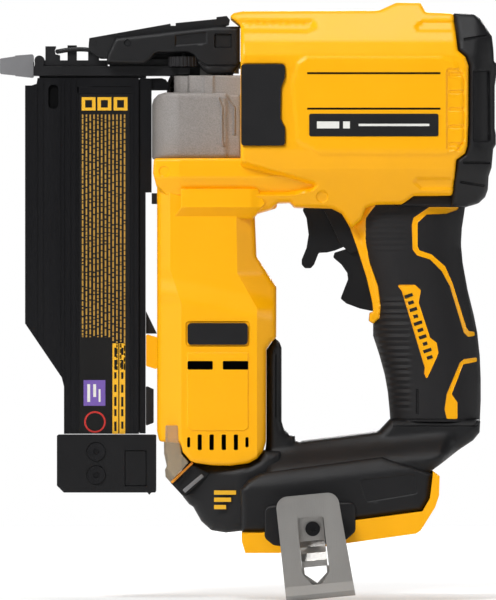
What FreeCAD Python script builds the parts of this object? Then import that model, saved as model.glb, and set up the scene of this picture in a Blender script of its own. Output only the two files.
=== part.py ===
import FreeCAD, Part
import math
import os

# Cordless pin nailer, modelled as separate pieces in one frame, in millimetres.
# Origin: nose outlet, on the drive axis, in the middle plane of the tool.
# +X runs from the nose to the rear cap, +Z points up, -Y is the operator's left side.

WALL = 2.6                   # moulded housing wall

# --- Moulded housing -----------------------------------------------------------------
BARREL_FRONT = 125.1
BARREL_SIDE = [(125.1, -60), (125.1, 20.3), (119.2, 25), (121.7, 26.9), (126.6, 27.9), (195, 28.3),
               (197.6, 28.6), (206.1, 32.7), (218.4, 32.7), (221, 27.5), (235.3, 26.8), (237.3, 7),
               (241.2, 3.7), (242.8, -0.8), (242.7, -30.7), (242.2, -42), (241, -46), (236.5, -49.3),
               (235.1, -64.6), (234.5, -67.7), (214.7, -67.9), (208.6, -72.2), (195.7, -72.4),
               (189, -75), (172.4, -74.4), (153.1, -73.7), (150.9, -71.2), (144.6, -71.4),
               (141, -74.6), (132.5, -77.3), (130, -60)]
BARREL_HALF_SECTION = [(18, 34), (37, 11.5), (39.5, 4.7), (39.5, -44.2), (37, -54.1), (22, -80)]
BARREL_CAVITY_HALF = [(17, 24.6), (34, 8.5), (36.6, 3.6), (36.6, -43.2), (34.2, -52.4), (26, -66.5)]
COLLAR = (80, 126, 31, -66, -48.2)          # x0, x1, half width, z0, z1
COLUMN_SIDE = [(81.8, -62), (81.8, -189.7), (82.9, -195), (94, -195.8), (95.2, -200.4),
               (99.3, -205.1), (102.1, -206), (110.5, -207.2), (119.8, -207.4), (129.1, -206.2),
               (133.7, -203.7), (137, -199.5), (138.3, -194.8), (138.5, -147.3), (141.2, -143.4),
               (143.6, -141.3), (143.7, -114.9), (133.4, -99.2), (132.5, -77.3), (132.5, -62)]
COLUMN_HALF = 29
COLUMN_BOX = (81.8, 143.8)
COLUMN_CAVITY = (85, 135.4, 26, -205, -60)
COLUMN_CAVITY_SIDE = [(85, -60), (85, -192.5), (95.6, -193.4), (98, -199), (103, -203.2),
                      (119.8, -204.4), (128.2, -203.4), (133, -199.6), (135.4, -194), (135.4, -60)]
SCREW_POCKETS = [(85.6, -55.3, 28.2), (167.3, -68.3, 24.2)]   # x, z, pocket floor y
VENT_WINDOWS = [(97.7, 110.8, -157.7, -153.2), (115.9, 129.1, -157.7, -153.2)]
LOUVRES = [(97.5, 99.1), (102.9, 105.1), (109, 111.3), (115.3, 117.6), (121.6, 123.8), (127.6, 129.3)]
LOUVRE_Z = (-199.3, -191.2)
SPINE_STRIP = [(170, -60), (172.4, -74), (177.6, -77), (181.9, -84.3), (185.3, -93.8),
               (190.5, -110.1), (193.5, -123.1), (194, -127.8), (192.2, -128.3), (191.8, -132.6),
               (194, -134.1), (197.4, -130.8), (197.8, -124.8), (196.5, -114.5), (192.2, -102.4),
               (189.2, -91.2), (189.2, -78.3), (195.7, -72), (240, -68), (240, -60)]
REAR_CAP_SIDE = [(235.3, 27), (246, 26.4), (249, 24.2), (253.5, 17.4), (255.1, 14.8), (255.8, 8.3),
                 (256.1, 1.8), (257.4, 0.5), (257.4, -5.4), (256.5, -11), (256.5, -33),
                 (257.1, -36.3), (257.1, -41.4), (255.7, -43.7), (254.9, -53.3), (253.4, -57.8),
                 (253.1, -64.6), (251.7, -68.5), (248.4, -71.6), (242.2, -73.4), (233.9, -73.4),
                 (234.5, -67.7), (235.1, -64.6), (236.5, -49.3), (241, -46), (242.2, -42),
                 (242.7, -30.7), (242.8, -0.8), (241.2, 3.7), (237.3, 7)]
CAP_HALF_SECTION = [(20, 34), (36, 13), (38.5, 4.7), (38.5, -44.2), (36, -55), (24, -80)]

# --- Handle --------------------------------------------------------------------------
# height, front edge, rear edge of the grip
GRIP_SECTIONS = [(-66, 176, 241), (-78, 178.5, 241.3), (-86, 182.6, 240), (-94, 185.4, 239.8),
                 (-104, 188.6, 240.8), (-116, 192, 243.1), (-128, 194, 246), (-140, 194.4, 248.4),
                 (-152, 197.7, 249.6), (-164, 200.6, 250), (-176, 202.4, 250.1), (-186, 203, 249.6)]
GRIP_HALF = 18.5
GRIP_SKIN = 2.4
GRIP_CORE = 2.4
GRIP_TOP = -72.6
GRIP_BOTTOM = -183.5
INLAY_UPPER = [(238.4, -72.6), (222.8, -72.6), (214.7, -79.1), (213.8, -82.6), (214.2, -95.5),
               (216.4, -98.5), (223.3, -100.7), (229.3, -106.7), (233.6, -114.5), (240.9, -138.6),
               (243.1, -140.8), (247.6, -140.3), (247.6, -138.2), (243.5, -137.9), (242.2, -136),
               (234.9, -112.7), (231, -104.1), (224.1, -98.1), (217.7, -95.9), (216.8, -93.8),
               (216.8, -81.7), (221.5, -77.4), (231.9, -77), (237.5, -74.8)]
INLAY_LOWER = [(248.6, -151.5), (240.9, -152.4), (238.8, -154.1), (231.9, -170.5), (230.8, -178.3),
               (231.9, -183.5), (237.5, -183.5), (237.5, -174.8), (234.5, -170.5), (240.5, -155),
               (248.6, -153.7)]

# --- Lower housing and battery foot --------------------------------------------------
FOOT_TILT = 6.45             # the battery slides in along this slope, degrees
BRIDGE_SIDE = [(138.6, -147.6), (143.2, -143), (145.3, -143.5), (146.4, -146.4), (146.4, -184.6),
               (147.5, -188.5), (150.5, -191.5), (153.5, -192), (153.2, -194.4), (156.2, -195.1),
               (195.9, -190.1), (197.4, -189.5), (203, -183.5), (249.5, -183.5), (249.1, -190.4),
               (245.7, -194.5), (239.2, -198.8), (224.1, -209.9), (222, -222), (139.4, -232),
               (137.5, -205), (138.5, -194.8)]
BRIDGE_HALF = 18.5
HUMP_SIDE = [(94.2, -196.4), (95.4, -200.7), (99.3, -205.5), (102.1, -206.4), (110.5, -207.6),
             (119.8, -207.8), (129.1, -206.6), (134, -204), (137.4, -199.7), (146, -200),
             (146, -241.3), (125.4, -241.3), (117.5, -242.4), (110, -241.1), (104.7, -236.3),
             (100.5, -228.9), (98.4, -227.6), (95.2, -223.6)]
HUMP_HALF = 27
FOOT_SIDE = [(125, -219.4), (128.8, -214.9), (134.8, -211.4), (139.4, -210.3), (198.2, -202.8),
             (224.1, -211.4), (222.6, -224), (218.8, -230.5), (184.4, -235.1), (136, -241.6),
             (125.7, -241.6)]
FOOT_HALF = 36.5
BASE_SIDE = [(125.7, -241.9), (125.7, -246.2), (127.6, -252.3), (144.8, -252.3), (179.9, -247.3),
             (215.7, -242.3), (218, -240.8), (225.6, -228.6), (227.6, -222.5), (227.9, -212.6),
             (224.4, -210.2), (224.4, -211.8), (222.9, -224.1), (219, -230.8), (184.4, -235.4),
             (136, -241.9)]
BASE_HALF = 38
HOOK_BOSS = [(137.5, -228), (184.5, -226), (184.5, -241), (180, -245.2), (172, -247.6),
             (150, -249.3), (142, -248.2), (137.5, -244.5)]
BOSS_FACE = 38.6
RAIL_GAP = 25.5              # half width between the rail lips
RAIL_GROOVE = 29.5           # half width inside the rail grooves

# --- Drive unit ----------------------------------------------------------------------
BORE = 13.0
CYLINDER_R = 15.5
CYLINDER_X = (126, 222)
STROKE = 60.0
LIFTER_X = 105.0
LIFTER_Z = -14.2
LIFTER_R = 11.0
LIFTER_PINS = 9
RACK_PITCH = LIFTER_R * math.radians(37.5)
MOTOR_X = LIFTER_X
BEVEL_GEAR = (30, 16.5, 11.0)      # teeth, pitch radius, distance from the shaft crossing
BEVEL_PINION = (20, 11.0, 16.5)
PLANET_MODULE = 0.5
SUN_TEETH, PLANET_TEETH, RING_TEETH = 12, 24, 60
PLANET_Z = (-142, -132)

# --- Nose ----------------------------------------------------------------------------
DOOR_PIVOT = (20.6, 2.7)
LEVER_PIVOT = (49.5, 11.2)
BAIL_PIVOT = (55.5, 7.0)
BAIL_BAR = (30.0, 7.4)
WIRE_R = 1.05
WHEEL = (95.8, -11.0, 1.9)

# --- Controls ------------------------------------------------------------------------
TRIGGER_PIVOT = (188, -95)
LOCK_PIVOT = (166, -69)
TRIGGER_SIDE = [(173.9, -97.1), (173.3, -99.6), (177.6, -103.3), (180.6, -107.6), (181, -111),
                (179.3, -115.3), (177.1, -121), (180.1, -123.5), (187, -126.1), (193.1, -127.4),
                (198, -126.4), (197, -112), (192.4, -96), (190.5, -92.4), (186.2, -92.2), (182.5, -94.4)]
LOCK_SIDE = [(157.4, -75), (159.4, -79.1), (160.5, -87.7), (159.4, -94.6), (156.9, -100.7),
             (156.9, -103.3), (158.6, -105.2), (161.6, -105.2), (163.3, -103.3), (165.7, -97.2),
             (170, -97), (174.1, -96.0), (179, -94), (183, -91.5), (180, -83), (174, -76),
             (171, -66), (162, -65)]

os.makedirs("parts", exist_ok=True)


# --- Small shape helpers -------------------------------------------------------------
def vec(x, y, z):
    return FreeCAD.Vector(x, y, z)


def corner_arc(before, corner, after, radius):
    """Two tangent points and the middle of the arc that rounds one corner."""
    to_before = (before - corner)
    to_after = (after - corner)
    reach = 0.45 * min(to_before.Length, to_after.Length)
    to_before.normalize()
    to_after.normalize()
    half = to_before.getAngle(to_after) / 2.0
    if half < 0.05 or half > 1.52:
        return None
    trim = min(radius / math.tan(half), reach)
    radius = trim * math.tan(half)
    middle = to_before + to_after
    middle.normalize()
    centre = corner + middle * (radius / math.sin(half))
    return corner + to_before * trim, centre - middle * radius, corner + to_after * trim


def face(points, radius=0.0):
    """Flat face through the points, with every corner rounded by the radius."""
    spots = [vec(*p) for p in points]
    edges = []
    count = len(spots)
    arcs = [None] * count
    if radius > 0:
        for i in range(count):
            arcs[i] = corner_arc(spots[i - 1], spots[i], spots[(i + 1) % count], radius)
    for i in range(count):
        if arcs[i]:
            edges.append(Part.Arc(*arcs[i]).toShape())
        start = arcs[i][2] if arcs[i] else spots[i]
        follow = (i + 1) % count
        end = arcs[follow][0] if arcs[follow] else spots[follow]
        if (end - start).Length > 1e-6:
            edges.append(Part.makeLine(start, end))
    return Part.Face(Part.Wire(Part.__sortEdges__(edges)))


def plate(points, y0, y1, radius=0.0):
    """Side profile (x, z) pulled from y0 to y1."""
    return face([(x, y0, z) for x, z in points], radius).extrude(vec(0, y1 - y0, 0))


def wide(points, half, radius=0.0):
    return plate(points, -half, half, radius)


def slab(points, z0, z1, radius=0.0):
    """Plan profile (x, y) pulled from z0 to z1."""
    return face([(x, y, z0) for x, y in points], radius).extrude(vec(0, 0, z1 - z0))


def beam(half_points, x0, x1, radius=0.0):
    """Right half of a cross-section (y, z), mirrored and pulled from x0 to x1."""
    section = list(half_points) + [(-y, z) for y, z in reversed(half_points)]
    return face([(x0, y, z) for y, z in section], radius).extrude(vec(x1 - x0, 0, 0))


def block(x0, x1, y0, y1, z0, z1):
    return Part.makeBox(x1 - x0, y1 - y0, z1 - z0, vec(x0, y0, z0))


def rounded_block(x0, x1, half, z0, z1, radius):
    return slab([(x0, -half), (x1, -half), (x1, half), (x0, half)], z0, z1, radius)


def rod_x(x0, x1, y, z, r):
    return Part.makeCylinder(r, x1 - x0, vec(x0, y, z), vec(1, 0, 0))


def rod_y(x, y0, y1, z, r):
    return Part.makeCylinder(r, y1 - y0, vec(x, y0, z), vec(0, 1, 0))


def rod_z(x, y, z0, z1, r):
    return Part.makeCylinder(r, z1 - z0, vec(x, y, z0), vec(0, 0, 1))


def fuse(shapes):
    result = shapes[0]
    if len(shapes) > 1:
        result = result.fuse(shapes[1:])
    return result.removeSplitter()


def mirrored(shape):
    return shape.mirror(vec(0, 0, 0), vec(0, 1, 0))


def turned(shape, centre, axis, degrees):
    copy = shape.copy()
    copy.rotate(vec(*centre), vec(*axis), degrees)
    return copy


def left_half(shape):
    return shape.common(block(-50, 400, -100, 0, -400, 100))


def right_half(shape):
    return shape.common(block(-50, 400, 0, 100, -400, 100))


def ribbon(path, thickness):
    """Closed outline of a bent strip that follows a path of (a, b) points."""
    sides = ([], [])
    for i, (a, b) in enumerate(path):
        before = path[max(i - 1, 0)]
        after = path[min(i + 1, len(path) - 1)]
        run = (a - before[0], b - before[1]) if i else (after[0] - a, after[1] - b)
        rise = (after[0] - a, after[1] - b) if i < len(path) - 1 else run
        n1 = (-run[1] / math.hypot(*run), run[0] / math.hypot(*run))
        n2 = (-rise[1] / math.hypot(*rise), rise[0] / math.hypot(*rise))
        mitre = (n1[0] + n2[0], n1[1] + n2[1])
        scale = thickness / (mitre[0] * n1[0] + mitre[1] * n1[1])
        sides[0].append((a + mitre[0] * scale / 2, b + mitre[1] * scale / 2))
        sides[1].append((a - mitre[0] * scale / 2, b - mitre[1] * scale / 2))
    return sides[0] + sides[1][::-1]


def toothed(teeth, pitch_radius, outward, add, ded, width=0.42):
    """Closed gear outline in polar points, with straight-sided teeth."""
    pitch = 2 * math.pi / teeth
    root = pitch_radius - ded if outward else pitch_radius + ded
    tip = pitch_radius + add if outward else pitch_radius - add
    points = []
    for k in range(teeth):
        centre = k * pitch
        for share, radius in ((-0.62, root), (-0.26, tip), (0.26, tip), (0.62, root)):
            angle = centre + share * width * pitch
            points.append((radius * math.cos(angle), radius * math.sin(angle)))
    return points


def save(name, *shapes):
    solids = []
    for shape in shapes:
        solids.extend(shape.Solids)
    body = solids[0] if len(solids) == 1 else Part.makeCompound(solids)
    body.exportStep("parts/" + name + ".step")


# --- Housing -------------------------------------------------------------------------
def trigger_slots():
    trigger_room = [(170, -84), (206, -84), (206, -129.4), (176, -129.4)]
    lock_room = [(150, -60), (178, -60), (190, -80), (190, -92), (150, -92)]
    return wide(trigger_room, 7.2).fuse(wide(lock_room, 7.2))


def trigger_axles():
    tx, tz = TRIGGER_PIVOT
    lx, lz = LOCK_PIVOT
    return rod_y(tx, -9, 9, tz, 1.5).fuse(rod_y(lx, -9, 9, lz, 1.5))


def grip_loft(inset):
    """Handle solid through rounded sections, drawn in by the inset."""
    wires = []
    for z, front, rear in GRIP_SECTIONS:
        long_half = (rear - front) / 2.0 - inset
        ring = Part.Ellipse(vec((front + rear) / 2.0, 0, z), long_half, GRIP_HALF - inset)
        wires.append(Part.Wire([ring.toShape()]))
    return Part.makeLoft(wires, True, False)


def housing_outer():
    barrel = beam(BARREL_HALF_SECTION, 115, 250, 2.0).common(wide(BARREL_SIDE, 60))
    x0, x1, half, z0, z1 = COLLAR
    collar = rounded_block(x0, x1, half, z0, z1, 9)
    column = rounded_block(COLUMN_BOX[0], COLUMN_BOX[1], COLUMN_HALF, -210, -60, 9)
    column = column.common(wide(COLUMN_SIDE, 60))
    return barrel, collar, column


def build_housing():
    barrel, collar, column = housing_outer()
    cavity = beam(BARREL_CAVITY_HALF, BARREL_FRONT + WALL, 233.5, 2.0)
    x0, x1, half, z0, z1 = COLUMN_CAVITY
    shaft = rounded_block(x0, x1, half, z0, z1, 7).common(wide(COLUMN_CAVITY_SIDE, 60))
    collar_room = rounded_block(84.5, 121.5, 27, -60.5, -40, 6)
    passage = block(120, 136, -20, 20, -66, -50)
    core = grip_loft(GRIP_SKIN).cut(grip_loft(GRIP_SKIN + GRIP_CORE))
    core = core.common(block(150, 260, -40, 40, GRIP_BOTTOM, -70))
    strip = grip_loft(0).common(wide(SPINE_STRIP, 40)).cut(grip_loft(GRIP_SKIN + GRIP_CORE))
    strip = strip.common(block(150, 260, -40, 40, -140, -70))
    shell = barrel.fuse([collar, column]).cut(cavity.fuse([shaft, collar_room, passage]))
    shell = shell.fuse([core, strip])
    handle_room = grip_loft(GRIP_SKIN + GRIP_CORE).common(block(150, 260, -40, 40, -80, -60))
    driver_port = rod_x(120, 130, 0, 0, CYLINDER_R)
    openings = [trigger_slots(), handle_room, driver_port]
    for wx0, wx1, wz0, wz1 in VENT_WINDOWS:
        openings.append(block(wx0, wx1, -40, 40, wz0, wz1))
    for lx0, lx1 in LOUVRES:
        openings.append(block(lx0, lx1, -40, 40, LOUVRE_Z[0], LOUVRE_Z[1]))
    for x, z, floor in SCREW_POCKETS:
        openings.append(rod_y(x, floor, 45, z, 3.2))
    openings.append(trigger_axles())
    openings.append(wide(REAR_CAP_SIDE, 60))
    shell = shell.cut(openings[0].fuse(openings[1:]))
    save("housing_left", left_half(shell))
    save("housing_right", right_half(shell))


def build_rear_cap():
    outer = beam(CAP_HALF_SECTION, 230, 262, 2.0).common(wide(REAR_CAP_SIDE, 60))
    inner = beam([(16, 24), (33, 8), (35.5, 3), (35.5, -43), (33, -53), (24, -68)], 230, 252.4, 2.0)
    hollow = [(230, 24), (245, 23.5), (249.5, 15), (252, 5), (253, -5), (252.5, -45), (250, -60),
              (248, -68), (230, -68)]
    save("rear_cap", outer.cut(inner.common(wide(hollow, 40))))


def build_pads():
    side = [(124, 0), (148, 0), (148, -6.8), (145.9, -12.4), (145.7, -28.3), (148, -32.7),
            (148, -42), (124, -42)]
    side = [(max(x, 125.4), z) for x, z in side]
    pad = plate(side, -41.2, -39.5, 1.6)
    column_pad = plate([(97.7, -133.6), (128.8, -133.6), (128.8, -144.8), (97.7, -144.8)],
                       -COLUMN_HALF - 0.9, -COLUMN_HALF, 2)
    save("rubber_pads", pad, mirrored(pad), column_pad, mirrored(column_pad))


def build_grips():
    skin = grip_loft(0).cut(grip_loft(GRIP_SKIN))
    skin = skin.common(block(150, 260, -40, 40, GRIP_BOTTOM, GRIP_TOP))
    skin = skin.cut(wide(SPINE_STRIP, 40)).cut(trigger_slots())
    skin = skin.cut(wide(REAR_CAP_SIDE, 60))
    inlays = wide(INLAY_UPPER, 40).fuse(wide(INLAY_LOWER, 40))
    accent = skin.common(inlays)
    plain = skin.cut(inlays)
    save("grip_left", left_half(plain))
    save("grip_right", right_half(plain))
    save("grip_accents", left_half(accent), right_half(accent))


def hook_boss():
    """Screw boss on the foot's left side; it laps over the battery base."""
    return plate(HOOK_BOSS, -BOSS_FACE, -30.2, 3)


def build_lower_housing():
    bridge = wide(BRIDGE_SIDE, BRIDGE_HALF)
    hump = wide(HUMP_SIDE, HUMP_HALF)
    foot = wide(FOOT_SIDE, FOOT_HALF)
    outer = fuse([bridge, hump, foot, hook_boss(), mirrored(hook_boss())])
    room = fuse([wide([(152, -198), (200, -193), (208, -180), (246, -180), (244, -192), (222, -208),
                       (219, -224), (139, -233.5), (139, -206)], BRIDGE_HALF - WALL),
                 wide([(126, -212), (142, -206), (142, -236), (120, -238), (112, -236), (107, -228),
                       (103, -222), (103, -210.5)], HUMP_HALF - WALL)])
    column = housing_outer()[2]
    hook_holes = rod_y(162.3, -60, -30, -239.7, 2.5).fuse(rod_y(162.3, 30, 60, -239.7, 2.5))
    shell = outer.cut(fuse([room, column]).fuse(hook_holes))
    save("lower_housing_left", left_half(shell))
    save("lower_housing_right", right_half(shell))


def build_battery_base():
    shoe = wide(BASE_SIDE, BASE_HALF)
    groove_top = [(110, -241.9), (136, -241.9), (184.4, -235.4), (214, -231.5), (214, -239),
                  (180, -243.4), (145, -248.4), (110, -248.4)]
    groove = wide(groove_top, RAIL_GROOVE)
    mouth = wide([(110, -236), (214, -228), (214, -256), (110, -262)], RAIL_GAP)
    base = shoe.cut(groove.fuse(mouth))
    save("battery_base", base.cut(hook_boss().fuse(mirrored(hook_boss()))))
    terminal = block(188, 212, -20, 20, -241.5, -235.6)
    slots = [block(186, 210, y - 0.7, y + 0.7, -243, -237) for y in (-15, -9, -3, 3, 9, 15)]
    save("terminal_block", turned(terminal.cut(slots[0].fuse(slots[1:])), (188, 0, -235.4),
                                  (0, 1, 0), -FOOT_TILT))
    blades = [turned(block(189, 209, y - 0.4, y + 0.4, -240.8, -237.2), (188, 0, -235.4),
                     (0, 1, 0), -FOOT_TILT) for y in (-15, -9, 9, 15)]
    save("battery_contacts", *blades)


def build_hook():
    path = [(-39.45, -231.5), (-39.45, -246), (-41, -249.5), (-46.5, -252.5), (-48, -256), (-48, -268),
            (-48.6, -272.3), (-51.5, -274.6), (-54.6, -272.3), (-55.2, -268), (-55.2, -221)]
    strip = face([(140, y, z) for y, z in ribbon(path, 1.6)], 0).extrude(vec(45, 0, 0))
    outline = [(144.6, -221.6), (176.6, -221.6), (181, -276.4), (145.2, -276.4)]
    square_end = [(144.9, -250), (178.9, -250), (181, -276.4), (145.2, -276.4)]
    hook = strip.common(wide(outline, 80, 6).fuse(wide(square_end, 80)))
    window = [(154.8, -233), (168.2, -233), (168.8, -262), (164, -268), (159.5, -268), (154.8, -262)]
    hook = hook.cut(plate(window, -60, -52, 1.5))
    inner_cut = [(140, -228), (154.9, -228), (154.9, -259), (140, -259)]
    other_cut = [(168.1, -228), (190, -228), (190, -259), (168.1, -259)]
    hook = hook.cut(plate(inner_cut, -52, -30)).cut(plate(other_cut, -52, -30))
    pocket = [(156, -259), (167.5, -259), (167.5, -262.5), (162, -267.5), (156, -262.5)]
    hook = hook.cut(plate(pocket, -52, -44))
    hook = hook.cut(rod_y(162.3, -60, -30, -239.7, 2.7))
    hook = turned(hook, (162.3, 0, -239.7), (0, 1, 0), -5.5)
    save("belt_hook", hook)
    head = rod_y(162.3, -42.7, -40.3, -239.7, 3.8)
    shank = rod_y(162.3, -40.3, -31, -239.7, 2.45)
    socket = rod_y(162.3, -43, -41.4, -239.7, 1.6)
    save("hook_screw", fuse([head, shank]).cut(socket))


# --- Drive unit ----------------------------------------------------------------------
def build_drive():
    x0, x1 = CYLINDER_X
    tube = rod_x(x0, x1, 0, 0, CYLINDER_R)
    flange = rod_x(x0 + 2, x0 + 6, 0, 0, CYLINDER_R + 3)
    cylinder = fuse([tube, flange]).cut(rod_x(x0 + 4, x1 + 1, 0, 0, BORE)).cut(rod_x(x0 - 1, x0 + 5, 0, 0, 6))
    save("cylinder", cylinder)
    tank = rod_x(150, 222, 0, -37, 15).cut(rod_x(154, 223, 0, -37, 12.5))
    head = wide([(222.1, 16), (229, 16), (229, -53), (222.1, -53)], 16)
    duct = block(221, 226.5, -6, 6, -44, 8)
    valve = rod_x(229, 233, 0, -37, 4).cut(rod_x(230.5, 234, 0, -37, 2))
    tank = fuse([tank, rod_x(221.5, 222.1, 0, -37, 15).cut(rod_x(221, 223, 0, -37, 12.5))])
    save("gas_reservoir", fuse([tank, head.cut(duct), valve]))
    save("bumper", rod_x(x0 + 4.1, x0 + 17, 0, 0, BORE - 0.2).cut(rod_x(x0, x0 + 20, 0, 0, 6)))
    front = x0 + 18 + STROKE
    piston = rod_x(front, front + 14, 0, 0, BORE - 0.35)
    piston = piston.cut(rod_x(front + 4, front + 7, 0, 0, BORE + 1).cut(rod_x(front + 4, front + 7, 0, 0, BORE - 2)))
    piston = piston.cut(block(front - 1, front + 7, -1.25, 1.25, -4.2, 2.6))
    save("piston", piston)
    seal = rod_x(front + 4.1, front + 6.9, 0, 0, BORE - 0.3).cut(rod_x(front, front + 9, 0, 0, BORE - 2))
    save("piston_seal", seal)
    blade = block(62, front + 6.9, -0.6, 0.6, -1.0, 1.0)
    spine = block(88, front + 6.9, -1.2, 1.2, -1.5, 2.2)
    teeth = []
    for k in range(LIFTER_PINS + 1):
        x = LIFTER_X + RACK_PITCH * (k - 0.5)
        teeth.append(block(x - 1.25, x + 1.25, -1.2, 1.2, -4.0, -1.4))
    save("driver_blade", fuse([blade, spine] + teeth))


def build_lifter():
    discs = []
    for y in (-5.0, 3.0):
        discs.append(rod_y(LIFTER_X, y, y + 2.0, LIFTER_Z, LIFTER_R + 1.6))
    pins = []
    for k in range(LIFTER_PINS):
        angle = math.radians(37.5 * k)
        x = LIFTER_X - LIFTER_R * math.sin(-angle)
        z = LIFTER_Z + LIFTER_R * math.cos(angle)
        pins.append(rod_y(x, -3.2, 3.2, z, 1.4))
    hub = rod_y(LIFTER_X, -5, 5, LIFTER_Z, 6)
    shaft = rod_y(LIFTER_X, -20, 19, LIFTER_Z, 3.5)
    save("lifter_wheel", fuse(discs + pins + [hub, shaft]))


def bearing(axis_rod, outer_r, inner_r, *place):
    """Plain ring that stands for a ball bearing; the rod helper sets its axis."""
    return axis_rod(*place, outer_r).cut(axis_rod(*place, inner_r))


def build_bearings():
    rings = []
    for y in (-19, 14.4):
        rings.append(bearing(rod_y, 7, 3.54, LIFTER_X, y, y + 4, LIFTER_Z))
    for z in (-100, -52):
        rings.append(bearing(rod_z, 9, 3.54, MOTOR_X, 0, z, z + 6))
    for z in (-197.5, -148.5):
        rings.append(bearing(rod_z, 6.5, 2.54, MOTOR_X, 0, z, z + 4))
    save("ball_bearings", *rings)


def bevel(teeth, radius, reach, depth, phase):
    """Toothed cone ring about +Z whose teeth all point at the origin above it."""
    loops = []
    for share in (1.0, 1.0 - depth / reach):
        outline = toothed(teeth, radius * share, True, 0.85 * share, 1.15 * share, 0.40)
        turn = math.radians(phase)
        ring = []
        for x, y in outline:
            ring.append(vec(x * math.cos(turn) - y * math.sin(turn),
                            x * math.sin(turn) + y * math.cos(turn), -reach * share))
        loops.append(Part.makePolygon(ring + [ring[0]]))
    return Part.makeLoft(loops, True, True)


def build_bevels():
    teeth, radius, reach = BEVEL_GEAR
    gear = bevel(teeth, radius, reach, 2.0, 90 + 180.0 / teeth)
    hub = rod_z(0, 0, -reach - 3, -reach + 1.9, 6.4)
    gear = fuse([gear, hub]).cut(rod_z(0, 0, -30, 0, 3.5))
    gear = turned(gear, (0, 0, 0), (1, 0, 0), 90)
    gear.translate(vec(LIFTER_X, 0, LIFTER_Z))
    save("bevel_gear", gear)


def bevel_pinion():
    teeth, radius, reach = BEVEL_PINION
    pinion = bevel(teeth, radius, reach, 3.0, 90).fuse(rod_z(0, 0, -reach - 4, -reach + 0.1, 6))
    pinion.translate(vec(LIFTER_X, 0, LIFTER_Z))
    return pinion


def gear_disc(teeth, z0, z1, bore, phase):
    outline = toothed(teeth, teeth * PLANET_MODULE / 2, True, 0.8 * PLANET_MODULE, 1.1 * PLANET_MODULE, 0.40)
    disc = slab(outline, z0, z1)
    disc = turned(disc, (0, 0, 0), (0, 0, 1), phase)
    return disc.cut(rod_z(0, 0, z0 - 1, z1 + 1, bore))


def build_gearbox():
    z0, z1 = PLANET_Z
    orbit = PLANET_MODULE * (SUN_TEETH + PLANET_TEETH) / 2
    sun = gear_disc(SUN_TEETH, z0 + 0.5, z1 - 0.5, 1.4, 0)
    sun.translate(vec(MOTOR_X, 0, 0))
    shaft = fuse([rod_z(MOTOR_X, 0, -198.5, -144, 2.5), rod_z(MOTOR_X, 0, -144, z1 - 0.5, 1.5), sun])
    save("motor_shaft", shaft)
    ring_line = toothed(RING_TEETH, RING_TEETH * PLANET_MODULE / 2, False, 0.8 * PLANET_MODULE,
                        1.1 * PLANET_MODULE, 0.40)
    ring = rod_z(0, 0, z0 - 2, z1 + 2, 18.8).cut(slab(ring_line, z0 - 3, z1 + 3))
    mount = rod_z(0, 0, -150.2, z0 - 2, 18.8).cut(rod_z(0, 0, -152, -140, 6.5))
    ring = fuse([ring, mount])
    ring.translate(vec(MOTOR_X, 0, 0))
    save("ring_gear", ring)
    shaft = rod_z(MOTOR_X, 0, z1 + 4, LIFTER_Z - 14.5, 3.5)
    arms = [rod_z(MOTOR_X, 0, z1 + 0.4, z1 + 4, 12.5), shaft]
    for k in range(3):
        turn = 120 * k
        x = MOTOR_X + orbit * math.cos(math.radians(turn))
        y = orbit * math.sin(math.radians(turn))
        planet = gear_disc(PLANET_TEETH, z0 + 0.5, z1 - 0.5, 1.56, 7.5)
        planet.translate(vec(x, y, 0))
        save("planet_" + str(k + 1), planet)
        arms.append(rod_z(x, y, z0 + 0.5, z1 + 1, 1.5))
    save("output_shaft", fuse(arms + [bevel_pinion()]))
    tube = rod_z(MOTOR_X, 0, -126, -44, 13).cut(rod_z(MOTOR_X, 0, -127, -43, 9.0))
    flare = rod_z(MOTOR_X, 0, -129.5, -126, 18.8).cut(rod_z(MOTOR_X, 0, -130, -125, 14.5))
    neck = rod_z(MOTOR_X, 0, -127.2, -124, 18.8).cut(rod_z(MOTOR_X, 0, -130, -120, 9.0))
    save("gearbox_tube", fuse([tube, neck, flare]))


def build_motor():
    z0, z1 = -190, -160
    core = rod_z(MOTOR_X, 0, z0, z1, 19).cut(rod_z(MOTOR_X, 0, z0 - 1, z1 + 1, 10.6))
    slots = []
    coils = []
    for k in range(6):
        slot = block(9, 16.5, -2.6, 2.6, z0 - 1, z1 + 1)
        slots.append(turned(slot, (0, 0, 0), (0, 0, 1), 60 * k))
        coil = block(11, 16.3, -2.2, 2.2, z0 - 2.5, z1 + 2.5)
        coil = turned(coil, (0, 0, 0), (0, 0, 1), 60 * k)
        coil.translate(vec(MOTOR_X, 0, 0))
        coils.append(coil)
    cutter = slots[0].fuse(slots[1:])
    cutter.translate(vec(MOTOR_X, 0, 0))
    save("motor_stator", core.cut(cutter), *coils)
    rotor = rod_z(MOTOR_X, 0, z0, z1, 10.2).cut(rod_z(MOTOR_X, 0, z0 - 1, z1 + 1, 2.5))
    save("motor_rotor", rotor)
    fan = [rod_z(MOTOR_X, 0, -157.2, -156, 16.5), rod_z(MOTOR_X, 0, -157.2, -151, 4.5)]
    for k in range(9):
        blade = block(4, 16.3, -0.5, 0.5, -156.1, -151)
        blade = turned(blade, (0, 0, 0), (0, 0, 1), 40 * k)
        blade.translate(vec(MOTOR_X, 0, 0))
        fan.append(blade)
    save("motor_fan", fuse(fan).cut(rod_z(MOTOR_X, 0, -170, -150, 2.5)))


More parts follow.
